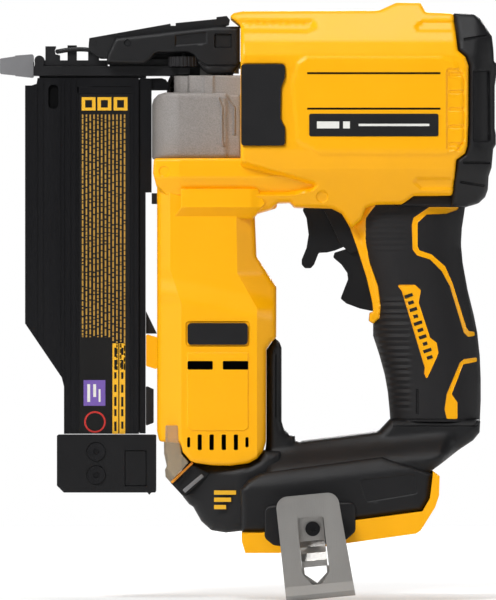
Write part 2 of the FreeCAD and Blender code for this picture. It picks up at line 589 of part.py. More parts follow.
# --- Nose and gear casting -----------------------------------------------------------
def build_gear_case():
    body_line = [(80.8, -48.1), (80.8, -22.4), (82, -18.4), (84.3, -14.8), (86.3, -14.3),
                 (90.5, -14.3), (90.5, -5.8), (107.6, -5.8), (124.1, -5.8), (124.1, -14.4),
                 (124.9, -14.6), (124.9, -48.1)]
    body = wide(body_line, 24)
    boss = rod_y(LIFTER_X, 7.8, 20, LIFTER_Z, 19.6).common(block(80, 124.8, 4, 24, -40, 10))
    flange = rounded_block(85, 121, 26.4, -60, -48, 5)
    lifter_room = rod_y(LIFTER_X, -6, 6, LIFTER_Z, 14)
    gear_room = rod_y(LIFTER_X, 8.6, 14.2, LIFTER_Z, 18.2).fuse(rod_y(LIFTER_X, 5, 9, LIFTER_Z, 7.5))
    pinion_room = rod_z(LIFTER_X, 0, -36, -26, 13)
    bore = rod_z(LIFTER_X, 0, -70, -30, 13.05)
    shaft_hole = rod_y(LIFTER_X, -22, 21, LIFTER_Z, 3.8)
    seats = rod_y(LIFTER_X, -19, -15, LIFTER_Z, 7).fuse(rod_y(LIFTER_X, 14, 18.4, LIFTER_Z, 7))
    blade_slot = block(70, 130, -2, 2, -6.9, 6)
    case = fuse([body, boss, flange]).cut(fuse([lifter_room, gear_room, pinion_room, bore, shaft_hole, seats]))
    case = case.cut(blade_slot)
    case = case.cut(block(80, 130, -3.5, 3.5, -5.6, 8))
    save("gear_case", case)


def build_nose():
    bar = block(17.6, 104, -7.4, 7.4, -5.2, -0.2)
    snout = block(12, 17.8, -3.9, 3.9, -3.9, 1.9)
    guide = block(57, 104, -5, 5, -0.3, 3.4)
    post = rod_z(WHEEL[0], WHEEL[1], -3.6, WHEEL[2] + 4.3, 1.5)
    shelf = block(WHEEL[0] - 3, WHEEL[0] + 3, WHEEL[1] - 3, -7, -4.6, -1.2)
    ear = plate([(18, -5), (23, -5), (23, 2.7), (18.3, 2.7)], 6, 7.4).fuse(rod_y(20.6, 6, 7.4, 2.7, 2.3))
    base = fuse([bar, snout, guide, post, shelf, ear, mirrored(ear)])
    drive_way = block(11, 106, -0.95, 0.95, -1.3, 1.2)
    feed = block(20.5, 71, -0.6, 0.6, -6, -1)
    rack_way = block(26.5, 106, -1.7, 1.7, -1.9, 2.6)
    teeth_way = block(40, 106, -1.7, 1.7, -4.4, 0)
    wheel_way = rod_z(WHEEL[0], WHEEL[1], -0.9, 6, 8.6).cut(post)
    lifter_way = rod_y(LIFTER_X, -5.6, 5.6, LIFTER_Z, 13.6)
    base = base.cut(fuse([drive_way, feed, teeth_way, rack_way]).fuse([wheel_way, lifter_way]))
    door_pin = rod_y(20.6, -7.4, 7.4, 2.7, 1.0)
    save("nose_base", base.fuse(door_pin).removeSplitter())
    tip = plate([(0, 3.7), (8, 4.9), (8, 5.3), (17.5, 6), (17.5, -6.2), (8, -5.2), (8, -4.9), (0, -4.1)],
                -5.5, 5.5, 0.8)
    tip = tip.cut(block(-1, 18, -0.95, 0.95, -1.3, 1.2))
    save("no_mar_tip", tip.cut(block(11.6, 18, -4.1, 4.1, -4.1, 2.1)))


def build_door():
    px, pz = DOOR_PIVOT
    plate_line = [(px, 0.1), (56, 0.1), (56, 2.8), (51.5, 2.8), (51.5, 7.3), (45.9, 7.3), (45.9, 2.8),
                  (39.9, 2.8), (39.9, 10.6), (35.2, 10.6), (35.2, 2.8), (31.2, 2.8), (31.2, 5.4),
                  (28.8, 6.0), (28.5, 8.0), (29.2, 10.1), (23.7, 10.1), (23.7, 2.8), (px, 2.8)]
    leaf = wide(plate_line, 5.6)
    knuckle = rod_y(px, -5.6, 5.6, pz, 2.6)
    door = fuse([leaf, knuckle]).cut(rod_y(px, -7, 7, pz, 1.04))
    blade_way = block(10, 60, -0.95, 0.95, -1, 1.2).fuse(rod_y(px, -0.95, 0.95, pz, 2.8))
    door = door.cut(blade_way).cut(block(27, 60, -1.6, 1.6, -1, 2.4))
    save("nose_door", door)


def build_cover():
    side = [(55.6, 1), (56.1, 5.8), (59.5, 13.2), (60.6, 14.2), (88, 17.5), (112, 20.1),
            (124.8, 20.1), (124.8, 1), (122.7, -2.2), (121.1, -4.3), (111, -4.8), (107.8, -4.3),
            (105.6, -2.7), (103, 1), (100.9, 4.7), (97.8, 6.3), (82.9, 6.6), (80.8, 5.8),
            (78.5, 3.1), (75.4, 0.6)]
    cheek = plate(side, -15, -13.2, 0.6)
    window = block(111.5, 120.5, -20, -10, 8.9, 16.4)
    cheek = cheek.cut(window)
    ridges = []
    for k in range(5):
        ridges.append(block(93 + 4 * k, 94.6 + 4 * k, -15.6, -14.9, 9.4, 17.2))
    cheek = fuse([cheek] + ridges)
    pivot_ear = plate([(46, 8), (52, 4), (60, 4), (60, 15), (48, 14.6)], -15, -13.2, 2.5)
    cheek = fuse([cheek, pivot_ear]).cut(rod_y(LEVER_PIVOT[0], -16, -12, LEVER_PIVOT[1], 1.56))
    rivet = rod_y(66.5, -15.4, -13.3, 11.6, 1.3)
    cheek = cheek.fuse(rivet)
    wheel_way = rod_z(WHEEL[0], WHEEL[1], -1.2, 5.0, 8.8)
    gear_way = rod_y(LIFTER_X, 10, 20, LIFTER_Z, 20)
    bridge = block(108, 124.8, -13.3, 13.3, 8, 10)
    back = block(122.8, 124.8, -13.3, 13.3, 8, 20)
    tie = block(60, 74, -13.3, 13.3, 3.5, 5.0)
    cover = fuse([cheek, mirrored(cheek), bridge, back, tie])
    save("nose_cover", cover.cut(wheel_way.fuse(gear_way)))


def build_lever():
    px, pz = LEVER_PIVOT
    arm_line = [(46.2, 9.7), (46.6, 14.2), (88.7, 21.7), (88.7, 20.6), (91.4, 20.6), (91.4, 22),
                (112.6, 24.1), (112.6, 25.1), (117.9, 25.7), (119.5, 23.8), (119, 21.4), (112, 19.2),
                (88, 16.2), (70, 12.2), (60.5, 9.6), (57.6, 5.4), (53.4, 5.2), (52.6, 8.4), (48.6, 8)]
    arm = plate(arm_line, -11.4, -9.6)
    arm = fuse([arm, rod_y(px, -11.4, -9.6, pz, 3.0)])
    roof = wide([(70, 18.35), (88.7, 21.7), (88.7, 20.6), (91.4, 20.6), (91.4, 22), (112.6, 24.1),
                 (112.6, 25.1), (117.9, 25.7), (119.5, 23.8), (119, 21.4), (112, 21.2), (88, 18.6),
                 (70, 15.2)], 9.7)
    pins = [rod_y(px, -14.8, -11, pz, 1.5), rod_y(px, 11, 14.8, pz, 1.5)]
    studs = [rod_y(BAIL_PIVOT[0], -9.7, -6.6, BAIL_PIVOT[1], 1.0), rod_y(BAIL_PIVOT[0], 6.6, 9.7, BAIL_PIVOT[1], 1.0)]
    save("latch_lever", fuse([arm, mirrored(arm), roof] + pins + studs))


def build_bail():
    """Closed wire: a bar across the front, two arched legs and their eyelets."""
    bx, bz = BAIL_BAR
    px, pz = BAIL_PIVOT
    parts = [rod_y(bx, -8 - WIRE_R, 8 + WIRE_R, bz, WIRE_R)]
    for y in (-8, 8):
        arch = Part.Arc(vec(bx, y, bz), vec(43.5, y, 8.6), vec(px - 1.4, y, pz)).toShape()
        ring = Part.Wire([Part.makeCircle(WIRE_R - 0.06, vec(bx, y, bz), arch.tangentAt(arch.FirstParameter))])
        parts.append(Part.Wire([arch]).makePipeShell([ring], True, True))
        parts.append(rod_y(px, y - 1.2, y + 1.2, pz, 2.2))
    save("wire_bail", fuse(parts).cut(rod_y(px, -10, 10, pz, 1.04)))


def build_depth_wheel():
    x, y, z = WHEEL
    disc = rod_z(x, y, z - 2.5, z + 2.5, 8.15)
    grooves = []
    for k in range(24):
        groove = rod_z(x + 8.5, y, z - 3, z + 3, 0.7)
        grooves.append(turned(groove, (x, y, z), (0, 0, 1), 15 * k))
    disc = disc.cut(grooves[0].fuse(grooves[1:])).cut(rod_z(x, y, z - 3, z + 3, 1.55))
    save("depth_wheel", disc)


# --- Magazine ------------------------------------------------------------------------
def build_magazine():
    outer = [(13.2, -10.3), (16.6, -10.3), (19.2, -9.4), (19.7, -6.4), (72.2, -6.4), (72.2, -191.2),
             (33.4, -191.2), (33.4, -166.6), (32.2, -161.9), (13.2, -133.9)]
    shell = wide(outer, 8)
    room = wide([(15.8, -12.6), (21.6, -12.6), (21.6, -4), (70, -4), (70, -192), (36, -192),
                 (36, -166), (34.6, -160.8), (15.8, -132.8)], 6.2)
    shell = shell.cut(room)
    shell = shell.cut(plate([(25.3, -22.4), (30.5, -22.4), (30.5, -9.9), (25.3, -9.9)], -12, -5, 2.5))
    grooves = []
    for x in (19.5, 22.5, 31.6, 33.6, 36.8, 39.6, 69.4):
        groove = block(x, x + 0.7, -8.5, -7.6, -192, -6)
        grooves.append(groove)
        grooves.append(mirrored(groove))
    pocket = plate([(41, -10.6), (68.2, -10.6), (68.2, -192), (41, -192)], -8.5, -7.6)
    shell = shell.cut(grooves[0].fuse(grooves[1:])).cut(pocket)
    shell = shell.cut(block(65.5, 80, -2.2, 2.2, -200, 0))
    save("magazine_channel", shell)
    label = plate([(41.5, -15), (67.5, -15), (67.5, -191), (41.5, -191)], -7.95, -7.6, 0.5)
    save("magazine_label", label)
    track = block(72.6, 78.8, -6, 6, -65.8, -6.6).fuse(block(72.6, 75.7, -6, 6, -191, -65.8))
    web = block(62, 73, -1.8, 1.8, -190.5, -7)
    rail = [(75.7, -12.8), (75.7, -6.6), (84.1, -6.4), (86.3, -7.2), (87.9, -9.6), (87.7, -12.6)]
    hook = wide(rail, 3.8)
    track = fuse([track, web, hook])
    bed = block(21.8, 62.2, 0.5, 2.2, -132, -7.4)
    save("magazine_track", fuse([track, bed, block(37, 62.2, 0.5, 2.2, -189, -131)]))
    strip = block(22.5, 60.5, -0.3, 0.3, -57.6, -7.6)
    save("pin_strip", strip)
    pusher = block(38, 61, -5.4, 0.2, -76, -58.2).fuse(block(24, 61, -0.45, 0.3, -64, -58.0))
    pusher = pusher.cut(rod_y(49.5, -4.8, -0.6, -68, 6.0))
    save("pusher", pusher.removeSplitter())
    coil = rod_y(49.5, -4.6, -0.8, -68, 5.6).cut(rod_y(49.5, -5, 0, -68, 3))
    save("pusher_spring", coil)


def build_end_cap():
    side = [(29.8, -191.7), (81.2, -191.7), (81.2, -196), (81.2, -221.6), (78.6, -221.6), (77.9, -223),
            (76.8, -221.6), (33.4, -221.6), (29.8, -218)]
    cap = wide(side, 11.6, 0.8)
    screws = []
    heads = []
    for z in (-200.4, -212.5):
        screws.append(rod_y(50.2, -13, -10.8, z, 5.1))
        heads.append(fuse([rod_y(50.2, -12.6, -10.8, z, 4.65), rod_y(50.2, -10.8, 2, z, 2.45)])
                     .cut(rod_y(50.2, -13, -11.4, z, 1.6)))
        screws.append(rod_y(50.2, -11, 2, z, 2.45))
    recess = block(65, 76.3, -12, -6, -218.3, -199.7)
    cap = cap.cut(fuse([recess] + screws))
    save("end_cap", cap)
    save("end_cap_screws", *heads)
    latch = plate([(65.4, -200.1), (75.9, -200.1), (75.9, -217.9), (65.4, -217.9)], -11.2, -8.4, 0.8)
    save("magazine_latch", latch)


def build_magazine_mounts():
    boss = wide([(76, -139.4), (81.7, -141), (81.7, -157.8), (76, -156)], 6, 0.8)
    save("magazine_bracket", boss)
    catch = wide([(75.9, -166.2), (79.9, -168), (79.9, -185.5), (75.9, -187.1)], 5, 0.6)
    stay = wide([(75.9, -127.4), (75.9, -139.2), (81.6, -139.2)], 3)
    spacer = block(78.9, 81.6, -4, 4, -71.8, -66.2)
    save("track_mounts", catch, stay, spacer)


# --- Controls, lamp and electronics ---------------------------------------------------
def build_controls():
    tx, tz = TRIGGER_PIVOT
    trigger = wide(TRIGGER_SIDE, 6.6, 1.2)
    trigger = fuse([trigger, rod_y(tx, -6.6, 6.6, tz, 3.2)]).cut(rod_y(tx, -8, 8, tz, 1.55))
    save("trigger", trigger)
    lx, lz = LOCK_PIVOT
    lock = wide(LOCK_SIDE, 6.6, 1.2).cut(rod_y(lx, -8, 8, lz, 1.55))
    save("lock_off_lever", lock)
    save("trigger_pins", trigger_axles())
    save("trigger_switch", block(207, 229, -7.5, 7.5, -116, -90).fuse(block(204.4, 207, -2, 2, -112, -108)))
    save("control_board", block(150, 210, -15, 15, -216, -213.4).fuse(block(156, 176, -10, 10, -213.4, -207)))


def build_lamp():
    lens = wide([(85.4, -186.3), (93.2, -186.3), (93.6, -195.4), (94.7, -201.3), (98.6, -205.6),
                 (88.7, -216.2), (86.2, -213.5), (85.9, -209.7), (86.8, -207.8), (85.4, -201.3)], 12)
    lens = lens.cut(wide(COLUMN_SIDE, 60)).cut(wide(HUMP_SIDE, 60))
    save("lamp_lens", lens)
    body = wide([(100.3, -205.8), (88.7, -216.4), (95.2, -223.4), (109.1, -211.6)], 12)
    body = body.cut(wide(HUMP_SIDE, HUMP_HALF + 1))
    save("lamp_body", *[piece for piece in body.Solids if piece.Volume > 20])


def build_housing_screws():
    heads = []
    for x, z, floor in SCREW_POCKETS:
        head = rod_y(x, floor, floor + 1.8, z, 2.6)
        heads.append(head.cut(rod_y(x, floor + 0.8, floor + 3, z, 1.1)))
    save("housing_screws", *heads)


build_housing()
build_rear_cap()
build_pads()
build_grips()
build_lower_housing()
build_battery_base()
build_hook()
build_drive()
build_lifter()
build_bearings()
build_bevels()
build_gearbox()
build_motor()
build_gear_case()
build_nose()
build_door()
build_cover()
build_lever()
build_bail()
build_depth_wheel()
build_magazine()
build_end_cap()
build_magazine_mounts()
build_controls()
build_lamp()
build_housing_screws()
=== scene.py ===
import math
import random

import bmesh
import bpy
import numpy as np
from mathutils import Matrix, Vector
from mathutils.geometry import delaunay_2d_cdt


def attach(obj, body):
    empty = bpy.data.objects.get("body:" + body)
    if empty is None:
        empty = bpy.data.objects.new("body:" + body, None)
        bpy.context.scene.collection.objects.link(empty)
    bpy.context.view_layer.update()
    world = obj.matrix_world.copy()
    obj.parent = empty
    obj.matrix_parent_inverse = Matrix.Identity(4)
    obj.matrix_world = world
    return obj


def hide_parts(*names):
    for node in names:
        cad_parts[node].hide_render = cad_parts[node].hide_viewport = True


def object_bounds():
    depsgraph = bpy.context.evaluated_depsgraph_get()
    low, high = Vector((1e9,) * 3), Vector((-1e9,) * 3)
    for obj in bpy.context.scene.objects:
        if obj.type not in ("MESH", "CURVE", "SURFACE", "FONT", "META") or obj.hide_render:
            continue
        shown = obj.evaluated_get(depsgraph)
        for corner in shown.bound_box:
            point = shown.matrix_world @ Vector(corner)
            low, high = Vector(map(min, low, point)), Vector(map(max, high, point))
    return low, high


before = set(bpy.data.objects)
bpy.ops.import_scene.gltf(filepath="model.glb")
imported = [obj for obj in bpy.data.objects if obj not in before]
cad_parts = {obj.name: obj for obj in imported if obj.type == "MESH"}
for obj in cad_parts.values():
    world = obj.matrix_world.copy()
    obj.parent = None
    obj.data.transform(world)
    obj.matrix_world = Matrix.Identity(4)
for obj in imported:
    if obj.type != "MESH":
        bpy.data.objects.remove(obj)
cad_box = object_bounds()

MM = 0.001
rng = random.Random(7)


# --- Materials -----------------------------------------------------------------------
DRIFT_SCALE = 55          # size of the slow drift in colour and roughness
BUMP_DISTANCE = 0.0004    # metres
SPECK_SCALE = 0.55        # worn specks, as a share of the grain
MIX_A, MIX_B, MIX_RESULT = 6, 7, 2    # the colour sockets of a Mix node


def linear(r, g, b):
    """0-255 display colour to the linear values a shader takes."""
    return tuple((c / 255 / 12.92 if c <= 10 else ((c / 255 + 0.055) / 1.055) ** 2.4) for c in (r, g, b))


def surface(name, colour, rough, grain=2600, bump=0.15, vary=0.12, metallic=0.0, spread=0.08,
            specular=0.5, coat=0.0, stretch=(1, 1, 1), worn=None):
    """Moulded or metal finish: fine grain in the bump, slow drift in colour and roughness."""
    mat = bpy.data.materials.new(name)
    mat.use_nodes = True
    tree = mat.node_tree
    shader = tree.nodes["Principled BSDF"]
    shader.inputs["Metallic"].default_value = metallic
    shader.inputs["Specular IOR Level"].default_value = specular
    shader.inputs["Coat Weight"].default_value = coat
    place = tree.nodes.new("ShaderNodeTexCoord")
    scale = tree.nodes.new("ShaderNodeMapping")
    scale.inputs["Scale"].default_value = stretch
    tree.links.new(place.outputs["Object"], scale.inputs["Vector"])

    def noise(size, detail):
        node = tree.nodes.new("ShaderNodeTexNoise")
        node.inputs["Scale"].default_value = size
        node.inputs["Detail"].default_value = detail
        tree.links.new(scale.outputs["Vector"], node.inputs["Vector"])
        return node.outputs["Fac"]

    def ramp(source, low, high):
        node = tree.nodes.new("ShaderNodeMapRange")
        node.inputs["To Min"].default_value = low
        node.inputs["To Max"].default_value = high
        tree.links.new(source, node.inputs["Value"])
        return node.outputs["Result"]

    slow = noise(DRIFT_SCALE, 3)
    fine = noise(grain, 2)
    mix = tree.nodes.new("ShaderNodeMix")
    mix.data_type = "RGBA"
    mix.inputs[MIX_A].default_value = tuple(c * (1 - vary) for c in colour) + (1,)
    mix.inputs[MIX_B].default_value = tuple(min(c * (1 + vary), 1) for c in colour) + (1,)
    tree.links.new(slow, mix.inputs[0])
    tint = mix.outputs[MIX_RESULT]
    if worn:
        speck = tree.nodes.new("ShaderNodeMix")
        speck.data_type = "RGBA"
        speck.inputs[MIX_B].default_value = worn + (1,)
        tree.links.new(tint, speck.inputs[MIX_A])
        cut = ramp(noise(grain * SPECK_SCALE, 4), -1.0, 1.5)
        tree.links.new(cut, speck.inputs[0])
        tint = speck.outputs[MIX_RESULT]
    tree.links.new(tint, shader.inputs["Base Color"])
    tree.links.new(ramp(slow, rough - spread, rough + spread), shader.inputs["Roughness"])
    bumper = tree.nodes.new("ShaderNodeBump")
    bumper.inputs["Strength"].default_value = bump
    bumper.inputs["Distance"].default_value = BUMP_DISTANCE
    tree.links.new(fine, bumper.inputs["Height"])
    tree.links.new(bumper.outputs["Normal"], shader.inputs["Normal"])
    return mat


# name, colour, roughness, grain, bump, colour drift, metallic
YELLOW = surface("housing_yellow", linear(250, 176, 0), 0.36, 1800, 0.05, 0.03, spread=0.05, specular=0.28)
BLACK = surface("housing_black", linear(17, 17, 19), 0.44, 3200, 0.30, 0.18, specular=0.3)
RUBBER = surface("grip_rubber", linear(20, 19, 21), 0.52, 3600, 0.42, 0.16, specular=0.3)
SATIN = surface("trigger_black", linear(16, 16, 18), 0.36, 2400, 0.12, 0.12, specular=0.3)
ANODISED = surface("magazine_black", linear(12, 12, 15), 0.30, 1500, 0.08, 0.10, specular=0.3,
                   stretch=(1, 1, 0.05))
CAST = surface("cast_grey", linear(146, 141, 138), 0.38, 3800, 0.7, 0.07, 0.25, worn=linear(112, 108, 104))
STEEL = surface("brushed_steel", linear(166, 164, 161), 0.30, 2600, 0.25, 0.08, 0.95, stretch=(1, 1, 0.06))
DARK_STEEL = surface("black_oxide", linear(34, 34, 36), 0.32, 2600, 0.18, 0.2, 0.7)
NOSE_STEEL = surface("nose_steel", linear(26, 26, 28), 0.36, 2400, 0.2, 0.2, 0.4)
TIP = surface("tip_grey", linear(112, 112, 114), 0.42, 1500, 0.1, 0.22)
FILM = surface("label_film", linear(12, 11, 11), 0.42, 900, 0.05, 0.1, specular=0.3)
INK_YELLOW = surface("ink_yellow", linear(236, 178, 24), 0.5, 900, 0.05, 0.05)
INK_DIM = surface("ink_dim", linear(176, 134, 48), 0.5, 900, 0.05, 0.12)
INK_PURPLE = surface("ink_purple", linear(112, 84, 168), 0.5, 900, 0.05, 0.05)
INK_RED = surface("ink_red", linear(190, 36, 28), 0.5, 900, 0.05, 0.05)
INK_WHITE = surface("ink_white", linear(225, 225, 220), 0.5, 900, 0.05, 0.05)
AMBER = surface("lamp_amber", linear(236, 150, 30), 0.4, 900, 0.05, 0.08)
BRASS = surface("contact_brass", linear(196, 160, 92), 0.3, 1500, 0.1, 0.08, 0.9)
MACHINED = surface("machined_alloy", linear(190, 190, 192), 0.28, 1800, 0.12, 0.06, 0.9)
# Near-black and dull. It is the own colour of the hidden inner parts, and it also draws the rules on the
# barrel panel. It is painted shade where it fills the column's vents and slots, the space behind the cover
# window and the magazine slot.
INNER_BLACK_AND_PAINTED_SHADE = surface("inner_black_and_painted_shade", linear(5, 5, 6), 0.7, 1800, 0.2, 0.15, specular=0.08)

LENS = surface("lamp_lens", linear(222, 208, 184), 0.12, 700, 0.05, 0.03)
lens_shader = LENS.node_tree.nodes["Principled BSDF"]
lens_shader.inputs["Transmission Weight"].default_value = 0.75
lens_shader.inputs["IOR"].default_value = 1.3


# --- Mesh tools ----------------------------------------------------------------------
LINE_GAP = 1.2                            # spacing of points along an outline or a crease, mm
EDGE_RINGS = (0.06, 0.2, 0.42, 0.7, 1.0)  # where the rolled edge gets its rings of points


def finish_mesh(name, verts, faces, material, sharp=32):
    """A linked object from points in millimetres, smooth but for edges above the sharp angle."""
    mesh = bpy.data.meshes.new(name)
    mesh.from_pydata([tuple(c * MM for c in v) for v in verts], [], faces)
    work = bmesh.new()
    work.from_mesh(mesh)
    bmesh.ops.remove_doubles(work, verts=work.verts, dist=1e-6)
    bmesh.ops.recalc_face_normals(work, faces=work.faces)
    work.to_mesh(mesh)
    work.free()
    mesh.materials.append(material)
    mesh.polygons.foreach_set("use_smooth", [True] * len(mesh.polygons))
    mesh.set_sharp_from_angle(angle=math.radians(sharp))
    piece = bpy.data.objects.new(name, mesh)
    bpy.context.scene.collection.objects.link(piece)
    return piece


def place(piece, body, slot, *nodes):
    """The piece rides on a body and stands for the nodes named. Its slot is not used."""
    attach(piece, body)
    if nodes:
        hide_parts(*nodes)
    return piece


def soften(points, radius, steps=5):
    """Rounds the corners of a closed outline."""
    out = []
    count = len(points)
    for i in range(count):
        a, p, b = (np.array(points[j % count], float) for j in (i - 1, i, i + 1))
        to_a, to_b = a - p, b - p
        la, lb = np.hypot(*to_a), np.hypot(*to_b)
        cosine = np.clip(np.dot(to_a, to_b) / (la * lb), -1, 1)
        half = math.acos(cosine) / 2
        if half > 1.5:
            out.append(tuple(p))
            continue
        trim = min(radius / math.tan(half), 0.45 * la, 0.45 * lb)
        start, end = p + to_a / la * trim, p + to_b / lb * trim
        for k in range(steps + 1):
            t = k / steps
            out.append(tuple((1 - t) ** 2 * start + 2 * t * (1 - t) * p + t * t * end))
    return out


def sample(points, gap):
    """Points along a closed outline, no further apart than gap."""
    out = []
    for (ax, az), (bx, bz) in zip(points, points[1:] + points[:1]):
        runs = max(1, int(math.ceil(math.hypot(bx - ax, bz - az) / gap)))
        out += [(ax + (bx - ax) * k / runs, az + (bz - az) * k / runs) for k in range(runs)]
    return out


def depth_in(spots, outline):
    """Signed distance from each spot to the outline, positive inside."""
    spots = np.asarray(spots, float)
    ring = np.asarray(outline, float)
    best = np.full(len(spots), 1e9)
    inside = np.zeros(len(spots), bool)
    for a, b in zip(ring, np.roll(ring, -1, 0)):
        run = b - a
        size = run @ run
        if size < 1e-12:
            continue
        t = np.clip(((spots - a) @ run) / size, 0, 1)
        best = np.minimum(best, np.hypot(*(spots - a - t[:, None] * run).T))
        crosses = (a[1] > spots[:, 1]) != (b[1] > spots[:, 1])
        if abs(run[1]) > 1e-12:
            inside ^= crosses & (spots[:, 0] < a[0] + (spots[:, 1] - a[1]) * run[0] / run[1])
    return np.where(inside, best, -best)


def inset(outline, gap, depth):
    """Points a given depth inside an outline."""
    ring = np.asarray(sample(outline, gap))
    run = np.roll(ring, -1, 0) - np.roll(ring, 1, 0)
    run /= np.maximum(np.hypot(*run.T), 1e-9)[:, None]
    across = depth * np.c_[-run[:, 1], run[:, 0]]
    spots = np.vstack([ring + across, ring - across])
    level = depth_in(spots, outline)
    return spots[np.abs(level - depth) < 0.08 * depth + 0.02]


def smooth(t):
    """Eased step from 0 to 1."""
    t = np.clip(t, 0, 1)
    return t * t * (3 - 2 * t)


def relief(name, outline, height, features=(), edge=2.0, gap=2.0, side=-1, material=YELLOW, floor=0.0,
           sharp=32, tints=(), creases=(), wall=2.2):
    """One moulded half shell: an outline whose face stands at height(x, z), rolled off at its edge.

    It is hollow behind its wall thickness, down to the parting plane at floor.

    A feature is (points, depth, slope): the face sinks by depth inside the points, over the slope.
    A tint is (points, material): faces inside those points take that material.
    A crease is an open line of points along which the height bends.
    """
    ring = sample(outline, min(gap, LINE_GAP))
    spots = list(ring)
    edges = [(i, (i + 1) % len(ring)) for i in range(len(ring))]
    for points in [f[0] for f in features] + [t[0] for t in tints]:
        loop = sample(points, LINE_GAP)
        held = depth_in(loop, outline)
        if held.min() > 0.05:
            start = len(spots)
            spots += loop
            edges += [(start + i, start + (i + 1) % len(loop)) for i in range(len(loop))]
        else:
            spots += [p for p, d in zip(loop, held) if d > 0.3]
    for line in creases:
        loop = sample(list(line), LINE_GAP)
        loop = loop[:len(loop) - len(sample([line[-1], line[0]], LINE_GAP)) // 2 + 1]
        kept = [p for p, d in zip(loop, depth_in(loop, outline)) if d > 0.4]
        start = len(spots)
        spots += kept
        edges += [(start + i, start + i + 1) for i in range(len(kept) - 1)]
    for points, depth, slope in features:
        for share in (0.5, 1.0):
            near = inset(points, LINE_GAP, slope * share)
            spots += [tuple(p) for p in near[depth_in(near, outline) > 0.3]]
    for share in EDGE_RINGS:
        if edge * share > 0.12:
            spots += [tuple(p) for p in inset(outline, max(gap * 0.6, 1.0), edge * share)]
    lo, hi = np.min(ring, 0), np.max(ring, 0)
    cols, rows = np.arange(lo[0], hi[0], gap), np.arange(lo[1], hi[1], gap)
    grid = np.array([(x + (gap / 2 if j % 2 else 0), z) for j, z in enumerate(rows) for x in cols])
    grid = grid[depth_in(grid, outline) > 0.5]
    spots += [tuple(p) for p in grid]
    flat, _, tris, _, _, _ = delaunay_2d_cdt([Vector(p) for p in spots], edges, [], 1, 1e-4)
    flat = np.array([tuple(p) for p in flat])
    level = depth_in(flat, outline)
    y = height(flat[:, 0], flat[:, 1])
    t = 1 - np.clip(level / edge, 0, 1)
    y = y - edge * (1 - np.sqrt(np.clip(1 - t * t, 0, 1)))
    for points, depth, slope in features:
        y = y - depth * smooth(depth_in(flat, points) / slope)
    y = np.maximum(y, floor + 0.02)
    count = len(flat)
    back = np.where(level > wall, np.maximum(y - wall, floor), floor)
    verts = [(x, side * h, z) for level_set in (y, back) for (x, z), h in zip(flat, level_set)]
    faces = [tuple(f) for f in tris] + [tuple(i + count for i in reversed(f)) for f in tris]
    seen = {}
    for f in tris:
        for a, b in zip(f, list(f[1:]) + [f[0]]):
            seen[(a, b)] = seen.get((a, b), 0) + 1
    faces += [(b, a, a + count, b + count) for (a, b) in seen if (b, a) not in seen]
    piece = finish_mesh(name, verts, faces, material, sharp)
    if tints:
        mesh = piece.data
        middles = np.array([tuple(p.center) for p in mesh.polygons]) / MM
        for points, tint in tints:
            mesh.materials.append(tint)
            within = depth_in(middles[:, [0, 2]], points) > 0
            within &= np.abs(middles[:, 1]) > floor + 0.5
            for i in np.nonzero(within)[0]:
                mesh.polygons[i].material_index = len(mesh.materials) - 1
    return piece


def prism(name, points, y0, y1, material, bevel=0.3, radius=0.0):
    """A side profile pulled across, with its long edges rolled by a bevel."""
    outline = soften(points, radius) if radius else list(points)
    count = len(outline)
    verts = [(x, y0, z) for x, z in outline] + [(x, y1, z) for x, z in outline]
    faces = [tuple(range(count)), tuple(range(2 * count - 1, count - 1, -1))]
    faces += [(i, (i + 1) % count, (i + 1) % count + count, i + count) for i in range(count)]
    piece = finish_mesh(name, verts, faces, material, 25)
    roll = piece.modifiers.new("roll", "BEVEL")
    roll.width = bevel * MM
    roll.segments = 2
    roll.limit_method = "ANGLE"
    roll.angle_limit = math.radians(28)
    return piece


def tiles(name, rects, y0, y1, material):
    """Many thin closed tiles (x0, x1, z0, z1) in one piece."""
    verts, faces = [], []
    for x0, x1, z0, z1 in rects:
        n = len(verts)
        verts += [(x, y, z) for y in (y0, y1) for x, z in ((x0, z0), (x1, z0), (x1, z1), (x0, z1))]
        faces += [(n, n + 1, n + 2, n + 3), (n + 7, n + 6, n + 5, n + 4)]
        faces += [(n + i, n + i + 4, n + (i + 1) % 4 + 4, n + (i + 1) % 4) for i in range(4)]
    return finish_mesh(name, verts, faces, material)


def rect(x0, x1, z0, z1):
    return [(x0, z0), (x1, z0), (x1, z1), (x0, z1)]


def circle(x, z, radius, count=14):
    return [(x + radius * math.cos(k / count * math.tau), z + radius * math.sin(k / count * math.tau))
            for k in range(count)]


def profile(stops):
    """Height over z through (z, y) stops, with the ridges eased."""
    zs = np.array([s[0] for s in stops], float)
    ys = np.array([s[1] for s in stops], float)

    def height(x, z):
        return sum(np.interp(z + k, zs, ys) for k in (-1.4, -0.7, 0, 0.7, 1.4)) / 5
    return height


SIDES = (("left", -1), ("right", 1))

# --- Barrel --------------------------------------------------------------------------
BARREL = [(125.1, -60), (125.1, 20.3), (119.4, 25), (121.7, 26.9), (126.6, 27.9), (195, 28.3),
          (197.6, 28.6), (206.1, 32.5), (218.4, 32.5), (221, 27.5), (235.3, 26.8), (237.3, 7),
          (241.2, 3.7), (242.8, -0.8), (242.7, -30.7), (242.2, -42), (241, -46), (236.5, -49.3),
          (235.1, -64.6), (234.5, -67.7), (214.7, -67.9), (208.6, -72.2), (195.7, -72.4),
          (190, -74), (188, -80), (182.5, -85), (177.6, -77), (172.4, -74.4), (153.1, -73.7),
          (150.9, -71.2), (144.6, -71.4), (141, -74.6), (132.5, -77.3), (130, -66)]
barrel_height = profile([(-85, 19), (-80, 22), (-54.1, 37), (-44.2, 39.4), (4.7, 39.4), (11.5, 37),
                         (34, 18)])
GROOVES = [(soften(rect(232.4, 240.6, z - 1.2, z + 1.2), 1), 0.5, 0.6)
           for z in (-5.4, -14.4, -23.4, -32.4, -41.4)]
